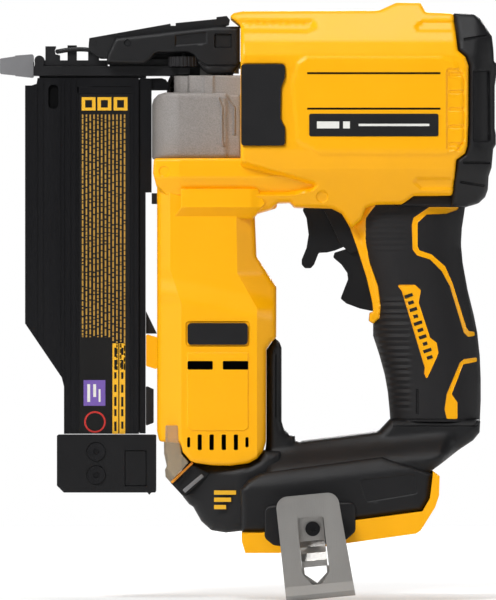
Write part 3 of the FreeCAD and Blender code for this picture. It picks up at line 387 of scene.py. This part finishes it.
RAISED = soften([(159, 4.4), (229, 4.4), (236, 1.5), (240.6, -6), (240.6, -40), (236, -46.5), (229, -48),
                 (166, -47.5), (153.5, -40), (151, -10), (154, 1)], 3)
BARREL_FEATURES = GROOVES + [
    (RAISED, -0.9, 1.6),
    (soften([(231, -2), (238.5, -2), (241.5, -8), (241.5, -39), (238.5, -45), (231, -45)], 2), 1.0, 1.0),
    (soften([(118, 16), (160, 15.6), (165.5, 18.4), (163, 23.8), (118, 24)], 2), 2.0, 3.0),
    (soften([(116, -49.6), (126, -49.6), (163, -60.2), (166, -62), (163, -65.5), (150, -68),
             (116, -68)], 3), 7.5, 4.5),
    (soften([(216.5, 16.4), (244, 16.4), (244, 23.4), (219, 23.4), (214.4, 20)], 1.5), 1.3, 1.8),
    (soften([(215.5, -58), (244, -58), (244, -65), (218, -65), (213.6, -61)], 1.5), 1.3, 1.8),
    (soften([(124, 0.5), (148.5, 0.5), (148.5, -7), (146.4, -12.6), (146.2, -28.2), (148.5, -32.8),
             (148.5, -42.5), (124, -42.5)], 2), 0.5, 0.35)]
RIDGES = [[(120, 11.5), (243, 11.5)], [(120, -54.1), (243, -54.1)], [(120, -44.2), (243, -44.2)],
          [(120, 4.7), (243, 4.7)]]
NAME_PLATE = rect(160.5, 227.2, -37.3, -25.6)
PANEL_FACE = 40.3      # the raised panel and the blank plate on it
PLATE_FACE = 40.75
for label, side in SIDES:
    boss = (circle(167.3, -68.3, 3.3), 0.7 if side < 0 else 3.5, 0.6)
    body = relief("barrel_" + label, soften(BARREL, 1.6), barrel_height, BARREL_FEATURES + [boss], 2.2,
                  1.7, side, creases=RIDGES)
    place(body, "housing", "yellow_shell", "housing_" + label)
    plate = prism("name_plate_" + label, NAME_PLATE, side * 39.4, side * PLATE_FACE, BLACK, 0.25, 1.2)
    place(plate, "housing", "black_shell")
rules = [(159.5, 228.2, -5.2, -4.2), (159.5, 228.2, -23.5, -22.5)]
marks = [(164.5, 176, -33.2, -29.6), (178, 181.5, -33.2, -29.6), (186, 222.5, -32.0, -30.8)]
for label, side in SIDES:
    near, far = sorted((side * (PANEL_FACE - 0.4), side * (PANEL_FACE + 0.1)))
    place(tiles("panel_rules_" + label, rules, near, far, INNER_BLACK_AND_PAINTED_SHADE), "housing", "label")
    near, far = sorted((side * (PLATE_FACE - 0.25), side * (PLATE_FACE + 0.05)))
    place(tiles("plate_marks_" + label, marks, near, far, INK_WHITE), "housing", "label")

# --- Collar and column ----------------------------------------------------------------
COLLAR = [(79.8, -56), (80.3, -48.4), (126, -48.4), (128.5, -49.8), (170, -61.4), (168, -64), (150, -67.6),
          (86.5, -67.6), (81.6, -63)]
BAND = [(94.2, -64), (134, -64), (138, -72), (131.6, -79.6), (89.6, -79.6), (94.2, -73.8)]
COLUMN = [(81.8, -60), (81.8, -189.7), (82.9, -195), (94, -195.8), (95.2, -200.4), (99.3, -205.1),
          (102.1, -206), (110.5, -207.2), (119.8, -207.4), (129.1, -206.2), (133.7, -203.7), (137, -199.5),
          (138.3, -194.8), (138.5, -147.3), (141.2, -143.4), (143.6, -141.3), (143.7, -114.9),
          (133.4, -99.2), (132.5, -77.3), (144, -74), (144, -60)]


def flat(y):
    """A level face."""
    return lambda x, z: np.full(len(x), float(y))


def collar_height(x, z):
    """Proud ring whose front turns away and whose lower edge is chamfered."""
    front = np.clip((93.4 - x) / 13.6, 0, 1) * 4.2
    under = np.clip((-58.2 - z) / 8, 0, 1) * 4.6
    return 31.2 - front - under


def band_height(x, z):
    """Narrow ring under the collar, chamfered below and at its rear."""
    under = np.clip((-73.8 - z) / 5.4, 0, 1) * 5.4
    rear = np.clip((x - 130.5) / 4, 0, 1) * 1.5
    return 29.9 - under - rear


FLANK_LINE = [(88.7, -60), (88.7, -106), (94.5, -123.4), (94.5, -207)]
HEEL_LINE = [(122.5, -60), (123.5, -108), (133.6, -126), (133.6, -207)]


def column_height(x, z):
    """Waisted upper half; the front flank and the rear heel fall away from the side panel."""
    flank = np.interp(-z, [-p[1] for p in FLANK_LINE], [p[0] for p in FLANK_LINE])
    heel = np.interp(-z, [-p[1] for p in HEEL_LINE], [p[0] for p in HEEL_LINE])
    waist = 3.6 * smooth((z + 126 + (x - 110) * 0.22) / 13)
    return 28.95 - waist - np.maximum(flank - x, 0) * 0.95 - np.maximum(x - heel, 0) * 0.8


VENTS = [soften(rect(97.7, 110.8, -157.7, -153.2), 0.8), soften(rect(115.9, 129.1, -157.7, -153.2), 0.8)]
SLOTS = [soften(rect(x0, x1, -199.3 + d, -191.2 - d), 0.7, 3) for x0, x1, d in
         ((97.5, 99.1, 1.4), (102.9, 105.1, 0), (109, 111.3, 0), (115.3, 117.6, 0), (121.6, 123.8, 0),
          (127.6, 129.3, 1.4))]
PAD_POCKET = soften(rect(96.7, 129.8, -145.8, -132.6), 2)
PANEL = soften([(97.4, -148.5), (129.4, -148.5), (129.4, -188), (127, -189.6), (100, -189.6),
                (97.4, -187.5)], 1.5)
COLUMN_FEATURES = [(v, 5.0, 0.5) for v in VENTS] + [(s, 4.0, 0.4) for s in SLOTS]
COLUMN_FEATURES += [(PAD_POCKET, 0.7, 0.5), (PANEL, -0.7, 0.7)]
for label, side in SIDES:
    collar = relief("collar_" + label, soften(COLLAR, 1.6), collar_height, (
        (circle(85.6, -55.3, 3.0), 0.6 if side < 0 else 3.2, 0.6),
        (soften(rect(100, 120.6, -67.2, -66.2), 0.3), 0.5, 0.3)), 1.6, 1.7, side,
        creases=[[(93.4, -46), (93.4, -70)], [(78, -58.2), (160, -58.2)]])
    band = relief("collar_band_" + label, soften(BAND, 1), band_height, (), 0.8, 1.8, side,
                  creases=[[(90, -73.8), (140, -73.8)], [(130.5, -60), (130.5, -80)]])
    # Faces inside the vents and slots take the near-black finish: painted shade for the dark inside seen
    # through them.
    column = relief("column_" + label, soften(COLUMN, 2), column_height, COLUMN_FEATURES, 2.4, 1.6, side,
                    tints=[(v, INNER_BLACK_AND_PAINTED_SHADE) for v in VENTS + SLOTS], creases=[FLANK_LINE, HEEL_LINE])
    for piece in (collar, band, column):
        place(piece, "housing", "yellow_shell", "housing_" + label)

# --- Rear cap ------------------------------------------------------------------------
CAP = [(235.3, 27), (246, 26.4), (249, 24.2), (253.5, 17.4), (255.1, 14.8), (255.8, 8.3), (256.1, 1.8),
       (257.4, 0.5), (257.4, -5.4), (256.5, -11), (256.5, -33), (257.1, -36.3), (257.1, -41.4),
       (255.7, -43.7), (254.9, -53.3), (253.4, -57.8), (253.1, -64.6), (251.7, -68.5), (248.4, -71.6),
       (242.2, -73.4), (233.9, -73.4), (234.5, -67.7), (235.1, -64.6), (236.5, -49.3), (241, -46),
       (242.2, -42), (242.7, -30.7), (242.8, -0.8), (241.2, 3.7), (237.3, 7)]
cap_profile = profile([(-80, 22), (-55, 35.5), (-44.2, 38.2), (4.7, 38.2), (13, 35.5), (34, 19)])


def cap_height(x, z):
    return cap_profile(x, z) - smooth((x - 246) / 12) * 5


CAP_FEATURES = [
    (soften([(244.9, -3.1), (254, -3.1), (254.4, -40.3), (244.9, -40.3)], 1.5), 1.4, 0.8),
    (soften([(240.4, 12), (253, 14.2), (252.4, 15.6), (240.2, 13.6)], 0.5), 0.9, 0.5),
    (soften([(240, -50.2), (254.2, -50.2), (254, -51.6), (240, -51.6)], 0.5), 0.9, 0.5),
    (soften([(238.6, -60), (251.5, -62), (251, -63.4), (238.2, -61.4)], 0.5), 0.8, 0.5)]
for label, side in SIDES:
    cap = relief("rear_cap_" + label, soften(CAP, 1.2), cap_height, CAP_FEATURES, 3.0, 1.8, side, BLACK)
    place(cap, "housing", "black_shell", "rear_cap")

# --- Handle --------------------------------------------------------------------------
GRIP = [(189.2, -72), (189.2, -91.2), (192.2, -102.4), (196.5, -114.5), (197.8, -124.8), (197.4, -130.8),
        (194, -134.1), (194.0, -140.3), (197.4, -150.7), (200, -160.2), (201.7, -169.7), (202.6, -179.1),
        (203, -185), (249.5, -185), (250, -174), (250, -162.8), (249.5, -150.7), (248.2, -138.6),
        (246.5, -130), (243.1, -116.2), (240.5, -102.4), (239.7, -92), (240.1, -84.3), (241.4, -76.5),
        (242, -72)]
SPINE = [(174, -72), (177.6, -77), (181.9, -84.3), (185.3, -93.8), (190.5, -110.1), (193.5, -123.1),
         (194, -127.8), (192.2, -128.3), (191.8, -132.6), (194, -134.1), (197.4, -130.8), (197.8, -124.8),
         (196.5, -114.5), (192.2, -102.4), (190.4, -91.2), (190.4, -79.3), (196, -72)]
GRIP_SPAN = [(z, f, r) for z, f, r in ((-66, 176, 241), (-78, 178.5, 241.3), (-94, 185.4, 239.8),
             (-116, 192, 243.1), (-140, 194.4, 248.4), (-164, 200.6, 250), (-186, 203, 249.6))]


def grip_height(x, z):
    """Rounded handle section, with finger ribs at the front and fine ribs near the top."""
    zs = [-s[0] for s in GRIP_SPAN]
    front = np.interp(-z, zs, [s[1] for s in GRIP_SPAN])
    rear = np.interp(-z, zs, [s[2] for s in GRIP_SPAN])
    across = np.clip(np.abs((x - (front + rear) / 2) / ((rear - front) / 2)), 0, 0.9995)
    y = 18.4 * (1 - across ** 2.6) ** (1 / 2.2)
    ribs = smooth((z + 181) / 4) * smooth((-119 - z) / 4) * smooth((215 - x) / 4)
    fine = smooth((z + 98) / 3) * smooth((-76 - z) / 3) * smooth((212 - x) / 3)
    return y + 0.42 * ribs * np.cos(math.tau * z / 3.2) + 0.12 * fine * np.cos(math.tau * z / 1.3)


def spine_height(x, z):
    """The yellow strip stands just proud of the handle's front."""
    return np.maximum(grip_height(x, z), 10.6) + 0.25


INLAY_A = [(238.4, -73.6), (222.8, -73.6), (214.7, -79.1), (213.8, -82.6), (214.2, -95.5), (216.4, -98.5),
           (223.3, -100.7), (229.3, -106.7), (233.6, -114.5), (240.9, -138.6), (243.1, -140.8),
           (246.6, -140.3), (246.6, -138.2), (243.5, -137.9), (242.2, -136), (234.9, -112.7), (231, -104.1),
           (224.1, -98.1), (217.7, -95.9), (216.8, -93.8), (216.8, -81.7), (221.5, -77.4), (231.9, -77),
           (237.5, -75)]
INLAY_B = [(247.8, -151.5), (240.9, -152.4), (238.8, -154.1), (231.9, -170.5), (230.8, -178.3),
           (231.9, -183.3), (237.5, -183.3), (237.5, -174.8), (234.5, -170.5), (240.5, -155), (247.8, -153.7)]
BADGE = [(206, -113.8), (215.5, -113.8), (218.5, -116.6), (217.4, -123.1), (223.3, -141.2), (226.7, -143.8),
         (227.6, -149), (226.7, -151.5), (221.5, -162.8), (220.2, -159.7), (220.5, -156.7), (208.6, -117.1)]
INLAYS = (soften(INLAY_A, 0.8), soften(INLAY_B, 0.8))
BADGE_EDGE = soften(BADGE, 1)
GRIP_FEATURES = [(INLAYS[0], 0.35, 0.3), (INLAYS[1], 0.35, 0.3), (BADGE_EDGE, 0.5, 0.35),
                 (soften([(216, -168), (217.4, -168), (217.4, -181), (216, -181)], 0.5), 0.7, 0.4),
                 (soften(rect(200, 252, -183.9, -183.1), 0.3), 0.6, 0.35)]
for label, side in SIDES:
    grip = relief("grip_skin_" + label, soften(GRIP, 1.0), grip_height, GRIP_FEATURES, 0.5, 0.9, side, RUBBER,
                  tints=[(points, YELLOW) for points in (*INLAYS, BADGE_EDGE)])
    place(grip, "housing", "rubber", "grip_" + label, "grip_accents")
    spine = relief("handle_spine_" + label, soften(SPINE, 0.8), spine_height, (), 1.0, 1.4, side, YELLOW,
                   floor=7.2)
    place(spine, "housing", "yellow_shell")

badge_bars = []
BADGE_BAR_PITCH = 3.75
along, across = np.array([13, -38]) / 40.16, np.array([38, 13]) / 40.16
for number in range(10):
    middle = np.array([212.2, -119.5]) + along * (number * BADGE_BAR_PITCH)
    reach = (2.2, 1.5, 2.0, 1.2)[number % 4]
    corners = [middle + along * a * 0.85 + across * b * reach
               for a, b in ((-1, -1), (-1, 1), (1, 1), (1, -1))]
    badge_bars.append([tuple(c) for c in corners])
for label, side in SIDES:
    for number, corners in enumerate(badge_bars):
        bar = prism("badge_bar_%s_%d" % (label, number + 1), corners, side * 17.2, side * 18.12, RUBBER, 0.12)
        place(bar, "housing", "rubber")

# --- Lower housing and foot -----------------------------------------------------------
BRIDGE = [(138.6, -147.6), (141.4, -143.6), (143.2, -141), (145.3, -143.5), (146.4, -146.4), (146.4, -184.6),
          (147.5, -188.5), (150.5, -191.5), (153.5, -192), (153.2, -194.4), (156.2, -195.1), (195.9, -190.1),
          (197.4, -189.5), (203, -183.5), (249.5, -183.5), (249.1, -190.4), (245.7, -194.5), (239.2, -198.8),
          (224.1, -209.9), (222, -222), (139.4, -232), (137.5, -205), (138.5, -194.8)]
HUMP = [(94.2, -196.4), (95.4, -200.7), (99.3, -205.5), (102.1, -206.4), (110.5, -207.6), (119.8, -207.8),
        (129.1, -206.6), (134, -204), (137.4, -199.7), (146, -200), (146, -241.3), (125.4, -241.3),
        (117.5, -242.2), (110, -241.1), (104.7, -236.3), (100.5, -228.9), (98.4, -227.6), (95.2, -223.6)]
FOOT = [(125, -219.4), (128.8, -214.9), (134.8, -211.4), (139.4, -210.3), (198.2, -202.8), (224.1, -211.4),
        (222.6, -224), (218.8, -230.5), (184.4, -235.1), (136, -241.6), (125.7, -241.6)]


def bridge_height(x, z):
    """The bridge swells from the slim grip end into the wide foot."""
    swell = smooth((-196 - z + (x - 165) * 0.10) / 14) * smooth((238 - x) / 10)
    return 18.2 + swell * 14


def hump_height(x, z):
    """The hump narrows towards the lamp."""
    return 26.5 - smooth((128 - x) / 34) * 9


def foot_height(x, z):
    """The foot's upper edge is chamfered along its slope."""
    return 36.2 - smooth((z + 216 + (165 - x) * 0.12) / 12) * 4


BRIDGE_FEATURES = [(soften([(143.0, -150), (143.8, -150), (143.8, -183), (143.0, -183)], 0.3), 0.5, 0.3),
                   (soften([(204, -186.4), (248, -186.4), (248, -187.4), (204, -187.4)], 0.4), 0.5, 0.3)]
HOOK_BOSS = [(137.5, -228), (184.5, -226), (184.5, -241), (180, -245.2), (172, -247.6), (150, -249.3),
             (142, -248.2), (137.5, -244.5)]
FOOT_FEATURES = [(soften([(186, -214.5), (215, -211.2), (217, -222), (190, -226.5)], 2), 0.5, 0.6)]
for label, side in SIDES:
    for name, outline, height, features, edge in (
            ("bridge_", BRIDGE, bridge_height, BRIDGE_FEATURES, 5.0),
            ("hump_", HUMP, hump_height, (), 5.0),
            ("foot_", FOOT, foot_height, FOOT_FEATURES, 3.0)):
        piece = relief(name + label, soften(outline, 1.5), height, features, edge, 2.0, side, BLACK)
        place(piece, "housing", "black_shell", "lower_housing_" + label)
    boss = prism("hook_boss_" + label, HOOK_BOSS, side * 30, side * 38.6, BLACK, 0.8, 4)
    place(boss, "housing", "black_shell", "lower_housing_" + label)

# --- Generic graphics ------------------------------------------------------------------
LABEL_FACE = -7.96
PRINT = (LABEL_FACE - 0.06, LABEL_FACE + 0.1)
OVERPRINT = (LABEL_FACE - 0.1, LABEL_FACE)
ICON_STARTS = (42.6, 50.8, 59.2)


def label_print(name, rects, ink, layer=PRINT):
    place(tiles(name, rects, *layer, ink), "magazine", "label")


bars = []
for column in range(12):
    x = 42.7 + column * 1.98
    z = -25.4
    stop = -141 if column < 8 else -158 + (column == 8) * 15
    while z > stop:
        length = rng.uniform(0.8, 3.8)
        bars.append((x, x + 0.8, max(z - length, stop), z))
        z -= length + rng.uniform(0.4, 0.9)
label_print("label_bars", bars, INK_DIM)

label_print("label_icons", [(x, x + 7.2, -23.3, -16.4) for x in ICON_STARTS], INK_YELLOW)
label_print("label_icon_cores", [(x + 1.8, x + 5.4, -21.8, -17.9) for x in ICON_STARTS], FILM, OVERPRINT)
label_print("label_table", [(58.6, 61.6, -191.3, -144.2), (62.2, 65.2, -191.3, -144.2)], INK_YELLOW)
cells = []
for x in (59.5, 63.1):
    for row in range(7):
        z = -146.4 - row * 6.4
        cells.append((x, x + 1.2, z - rng.uniform(3.2, 5.2), z))
label_print("label_table_bars", cells, FILM, OVERPRINT)
label_print("label_purple", [(43.6, 54.9, -176.6, -163.3)], INK_PURPLE)
label_print("label_purple_bars", [(45.5, 47.0, -174.6, -165.4), (48.6, 50.1, -172.0, -165.4),
                                  (51.4, 52.4, -174.6, -168.0)], INK_WHITE, OVERPRINT)

# --- Small visible details --------------------------------------------------------------
RING_STEPS = 40
outer, hole = (circle(49.5, -185, radius, RING_STEPS) for radius in (5.6, 4.7))
verts = [(x, y, z) for y in PRINT for x, z in outer + hole]
faces = []
for i in range(RING_STEPS):
    j = (i + 1) % RING_STEPS
    # Steps on from a point: its hole point, its back point, and the back of its hole point.
    inner, behind, both = RING_STEPS, 2 * RING_STEPS, 3 * RING_STEPS
    faces += [(i, j, j + inner, i + inner), (i + behind, i + both, j + both, j + behind),
              (i, i + behind, j + behind, j), (i + inner, j + inner, j + both, i + both)]
place(finish_mesh("label_ring", verts, faces, INK_RED), "magazine", "label")

for label, side in SIDES:
    for name, points, near, far, material, slot in (
            ("lamp_module_", [(90.5, -217.6), (100.6, -207.4), (109, -211.6), (96, -223.4)], 12, 21.4,
             BLACK, "black_shell"),
            ("lamp_bar_", [(95.0, -220.0), (96.4, -221.6), (106.2, -213.2), (104.9, -211.7)], 20, 22.0,
             TIP, "lens"),
            ("lamp_strip_", [(88.9, -215.9), (89.8, -216.8), (100.8, -206.2), (99.9, -205.4)], 20, 22.4,
             AMBER, "lens")):
        place(prism(name + label, points, side * near, side * far, material, 0.3, 0.5), "housing", slot)
CELL_MARKS = [(111.4, 122.8, -222.4, -220.2), (111.4, 120.2, -226.1, -223.9),
              (111.4, 117.6, -229.9, -227.7)]
place(tiles("cell_marks", CELL_MARKS, -26.62, -26.3, INK_YELLOW), "housing", "label")

# --- Nose cover, casting and fillers ------------------------------------------------------
COVER = [(55.6, 1.2), (56.1, 5.8), (59.5, 13.2), (60.6, 14.1), (88, 17.3), (112, 19.9), (124.8, 19.9),
         (124.8, 1),
         (122.7, -2.2), (121.1, -4.3), (111, -4.8), (107.8, -4.3), (105.6, -2.7), (103, 1), (100.9, 4.7),
         (97.8, 6.3), (82.9, 6.6), (80.8, 5.8), (78.5, 3.1), (75.4, 0.8)]
CASTING = [(79.1, -48.6), (79.1, -20.5), (80, -17.6), (82.4, -15.2), (86, -14.2), (126, -14.2),
           (126, -48.6)]
CORNER_X = 93.2    # the casting's flat flank starts here
NECK = [(90.6, -5.4), (126, -5.4), (126, -16), (90.6, -16)]


def casting_height(x, z):
    """Round front corner, flat flank, and a slight step behind the two webs."""
    round_front = 13 * (1 - np.sqrt(np.clip(1 - np.clip((CORNER_X - x) / 14.2, 0, 1) ** 2, 0, 1)))
    round_front += np.maximum(CORNER_X - x, 0) * 0.12
    return 23.6 - round_front - 1.2 * smooth((x - 117) / 2)


def neck_height(x, z):
    """Stepped bands of the neck under the nose."""
    return np.interp(x, [90, 91.5, 94, 97.8, 98.4, 105.6, 106.4, 111, 111.6, 126],
                     [7, 11.5, 14.5, 15.5, 20.4, 21.2, 22.3, 22.6, 21.9, 22.1])


# The bevel gear is on the right of the lifter, and a round cover closes over it above the neck.
GEAR_X, GEAR_Z = 105, -14.2
COVER_RADIUS = 18.9
COVER_FRONT = 86.7
GEAR_COVER = [(max(GEAR_X + COVER_RADIUS * math.cos(a), COVER_FRONT), GEAR_Z + COVER_RADIUS * math.sin(a))
              for a in np.linspace(math.pi + 0.2, -0.2, 40)]
gear_cover = relief("gear_cover", GEAR_COVER, flat(19.6), (), 2.0, 1.2, 1, CAST, floor=7.8, sharp=24)
place(gear_cover, "housing", "casting", "gear_case")

WEB_A = [(112.2, -16.4), (114.6, -22.4), (114.6, -39), (115.5, -42.5), (117.2, -42.5), (116.4, -39),
         (116.4, -22), (114.2, -16.4)]
WEB_B = [(116.6, -16.4), (121, -22.4), (121, -36.7), (122.8, -36.7), (122.8, -22), (118.6, -16.4)]
GRIP_COLLAR = soften([(205, -73.2), (208.4, -71.8), (214.7, -67.4), (236, -67.2), (243, -71), (243, -73.4)],
                     0.6)
SHROUD = [(166, -71), (178.4, -75.6), (182.8, -83), (187.0, -95.5), (182.2, -97.5), (176.5, -92), (171, -80)]
LAMP_WINDOW = [(86.2, -186.6), (92.9, -186.6), (93.3, -195.4), (94.4, -201.5), (98.2, -205.7), (91, -213.5),
               (87.2, -209), (87.4, -203), (86.2, -199)]
WEBS = [(soften(WEB_A, 0.5), -0.9, 0.7), (soften(WEB_B, 0.5), -0.8, 0.7)]
COVER_FEATURES = (
    (soften(rect(111.5, 120.5, 8.9, 16.4), 0.8), 1.7, 0.4),
    (soften([(91, 9.6), (108, 11), (108, 17.6), (91, 15.8)], 1), 0.7, 0.8),
    (soften([(100, 3), (107, -1), (124, -1), (124, 0.4), (108, 0.4), (101, 4.4)], 0.5), 0.6, 0.6),
    (circle(66.5, 11.6, 1.9), 0.8, 0.3))
for label, side in SIDES:
    flank = relief("casting_" + label, soften(CASTING, 1.5), casting_height, WEBS, 2.4, 1.4, side, CAST,
                   sharp=24, creases=[[(CORNER_X, -12), (CORNER_X, -50)]])
    neck = relief("casting_neck_" + label, NECK, neck_height, (), 0.7, 0.9, side, CAST, sharp=24)
    for piece in (flank, neck):
        place(piece, "housing", "casting", "gear_case")
    collar_top = relief("grip_collar_" + label, GRIP_COLLAR, flat(20), (), 1.4, 1.6, side, RUBBER)
    place(collar_top, "housing", "rubber")
    shroud = prism("trigger_shroud_" + label, SHROUD, side * 7.3, side * 9.3, SATIN, 0.3)
    place(shroud, "housing", "black_shell")
    window = prism("lamp_window_" + label, LAMP_WINDOW, side * 22, side * 27.6, LENS, 0.6, 0.8)
    place(window, "housing", "lens")
    cover = relief("cover_skin_" + label, soften(COVER, 1.2), flat(16.9), COVER_FEATURES, 1.9, 1.3, side,
                   BLACK, floor=14.9)
    place(cover, "housing", "black_shell")

FILLERS = (    # name, side profile, y from and to, material, bevel, corner radius, body, slot
    ("nose_guide", [(74, 3.2), (104, 3.2), (104, 6.9), (84, 7.4), (74, 5)], 0.5, 8, NOSE_STEEL, 0.3, 0,
     "housing", "steel"),
    # A near-black block between the cover cheeks behind the window: painted shade for the dark inside seen
    # through it.
    ("cover_window_shade", [(109, 8.4), (122.6, 8.4), (122.6, 17.4), (109, 16.6)], -12.9, 12.9, INNER_BLACK_AND_PAINTED_SHADE, 0.3, 0,
     "housing", "inner_plastic"),
    ("magazine_bar", rect(40, 68.4, -14.2, -11), -8.0, -7.7, ANODISED, 0.12, 0.8,
     "magazine", "magazine_alloy"),
    ("feed_plate", rect(20.5, 76, -6.35, -5.25), -5.4, 5.4, NOSE_STEEL, 0.2, 0, "housing", "steel"),
    # A near-black sheet inside the magazine slot: painted shade over the parts seen through it.
    ("magazine_slot_shade", rect(24.6, 31.2, -23.2, -9.2), -6.1, -5.8, INNER_BLACK_AND_PAINTED_SHADE, 0.05, 0,
     "magazine", "inner_plastic"))
for name, points, near, far, material, bevel, radius, body, slot in FILLERS:
    place(prism(name, points, near, far, material, bevel, radius), body, slot)

# --- Finishes and rolled edges on the CAD nodes -------------------------------------------
FINISH = {
    YELLOW: ("magazine_bracket", "battery_base"),
    BLACK: ("rubber_pads", "lamp_body", "nose_cover", "latch_lever", "track_mounts", "housing_left",
            "housing_right", "lower_housing_left", "lower_housing_right", "rear_cap"),
    RUBBER: ("grip_left", "grip_right", "depth_wheel"),
    SATIN: ("trigger", "lock_off_lever", "end_cap", "magazine_latch", "terminal_block", "trigger_switch"),
    ANODISED: ("magazine_channel", "magazine_track"),
    CAST: ("gear_case",),
    NOSE_STEEL: ("nose_base", "nose_door", "wire_bail"),
    STEEL: ("belt_hook", "pin_strip", "driver_blade", "pusher_spring", "ball_bearings",
            "output_shaft", "motor_shaft", "bevel_gear", "ring_gear", "planet_1", "planet_2", "planet_3",
            "lifter_wheel", "trigger_pins"),
    DARK_STEEL: ("hook_screw", "housing_screws", "end_cap_screws", "motor_rotor", "motor_stator"),
    TIP: ("no_mar_tip",),
    FILM: ("magazine_label",),
    LENS: ("lamp_lens",),
    BRASS: ("battery_contacts",),
    MACHINED: ("cylinder", "piston", "gas_reservoir", "gearbox_tube"),
    INNER_BLACK_AND_PAINTED_SHADE: ("bumper", "piston_seal", "pusher", "motor_fan", "control_board"),
    INK_YELLOW: ("grip_accents",),
}
# Width of the rolled edges in millimetres; a node that isn't here keeps its edges.
ROLL = {"gear_case": 0.7, "nose_base": 0.4, "nose_cover": 0.35, "latch_lever": 0.3, "belt_hook": 0.25,
        "magazine_channel": 0.35, "end_cap": 0.6, "battery_base": 0.8, "trigger": 0.9, "lock_off_lever": 0.8,
        "rubber_pads": 0.5, "magazine_bracket": 0.4, "track_mounts": 0.4, "no_mar_tip": 0.5, "nose_door": 0.3,
        "depth_wheel": 0.3, "lamp_body": 0.5, "magazine_latch": 0.5, "hook_screw": 0.2, "end_cap_screws": 0.2,
        "housing_screws": 0.2}
for material, names in FINISH.items():
    for name in names:
        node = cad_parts[name]
        node.data.materials.clear()
        node.data.materials.append(material)
        if name in ROLL:
            roll = node.modifiers.new("roll", "BEVEL")
            roll.width = ROLL[name] * MM
            roll.segments = 3
            roll.limit_method = "ANGLE"
            roll.angle_limit = math.radians(32)
            roll.harden_normals = False

# --- Floor, light and camera ----------------------------------------------------------------
FLOOR_CLEARANCE = 0.0006
FLOOR_RADIUS = 1.6
SENSOR = 36
floor_z = cad_box[0][2] - FLOOR_CLEARANCE
work = bmesh.new()
bmesh.ops.create_circle(work, cap_ends=True, segments=96, radius=FLOOR_RADIUS)
mesh = bpy.data.meshes.new("floor")
work.to_mesh(mesh)
work.free()
floor = bpy.data.objects.new("floor", mesh)
floor.location = (0.13, 0, floor_z)
bpy.context.scene.collection.objects.link(floor)
mesh.materials.append(surface("studio_floor", linear(247, 247, 247), 0.75, 300, 0.01, 0.01))

world = bpy.data.worlds.new("studio")
bpy.context.scene.world = world
world.use_nodes = True
sky = world.node_tree
backdrop = sky.nodes["Background"]
backdrop.inputs["Strength"].default_value = 1.0
ambient = sky.nodes.new("ShaderNodeBackground")
ambient.inputs["Color"].default_value = (1, 1, 1, 1)
ambient.inputs["Strength"].default_value = 0.13
backdrop.inputs["Color"].default_value = (1, 1, 1, 1)
path = sky.nodes.new("ShaderNodeLightPath")
blend = sky.nodes.new("ShaderNodeMixShader")
sky.links.new(path.outputs["Is Camera Ray"], blend.inputs[0])
sky.links.new(ambient.outputs[0], blend.inputs[1])
sky.links.new(backdrop.outputs[0], blend.inputs[2])
sky.links.new(blend.outputs[0], sky.nodes["World Output"].inputs["Surface"])
bpy.context.scene.view_settings.view_transform = "Standard"

CENTRE = Vector((0.129, 0, -0.122))
LIGHTS = (    # name, place, width in metres, watts
    ("key", (-0.6, -1.4, 1.1), 0.45, 27),
    ("left", (-1.5, -0.35, 0.25), 0.5, 5),
    ("right", (1.7, -0.3, 0.3), 0.5, 3.5),
    ("top", (0.15, -0.2, 1.4), 0.6, 9),
    ("back", (0.5, 1.7, 0.6), 0.7, 22))
for name, spot, size, power in LIGHTS:
    lamp = bpy.data.lights.new(name, "AREA")
    lamp.size = size
    lamp.energy = power
    lamp_object = bpy.data.objects.new(name, lamp)
    lamp_object.location = spot
    lamp_object.rotation_euler = (CENTRE - Vector(spot)).to_track_quat("-Z", "Y").to_euler()
    bpy.context.scene.collection.objects.link(lamp_object)

VIEW_DISTANCE = 5.0
VIEW_HEIGHT = 0.312
camera_data = bpy.data.cameras.new("camera")
camera_data.sensor_width = SENSOR
camera_data.lens = SENSOR * VIEW_DISTANCE / VIEW_HEIGHT
camera_data.clip_end = 30
camera = bpy.data.objects.new("camera", camera_data)
camera.location = (0.12896, -VIEW_DISTANCE, -0.1217)
camera.rotation_euler = (math.radians(90), 0, 0)
bpy.context.scene.collection.objects.link(camera)
bpy.context.scene.camera = camera
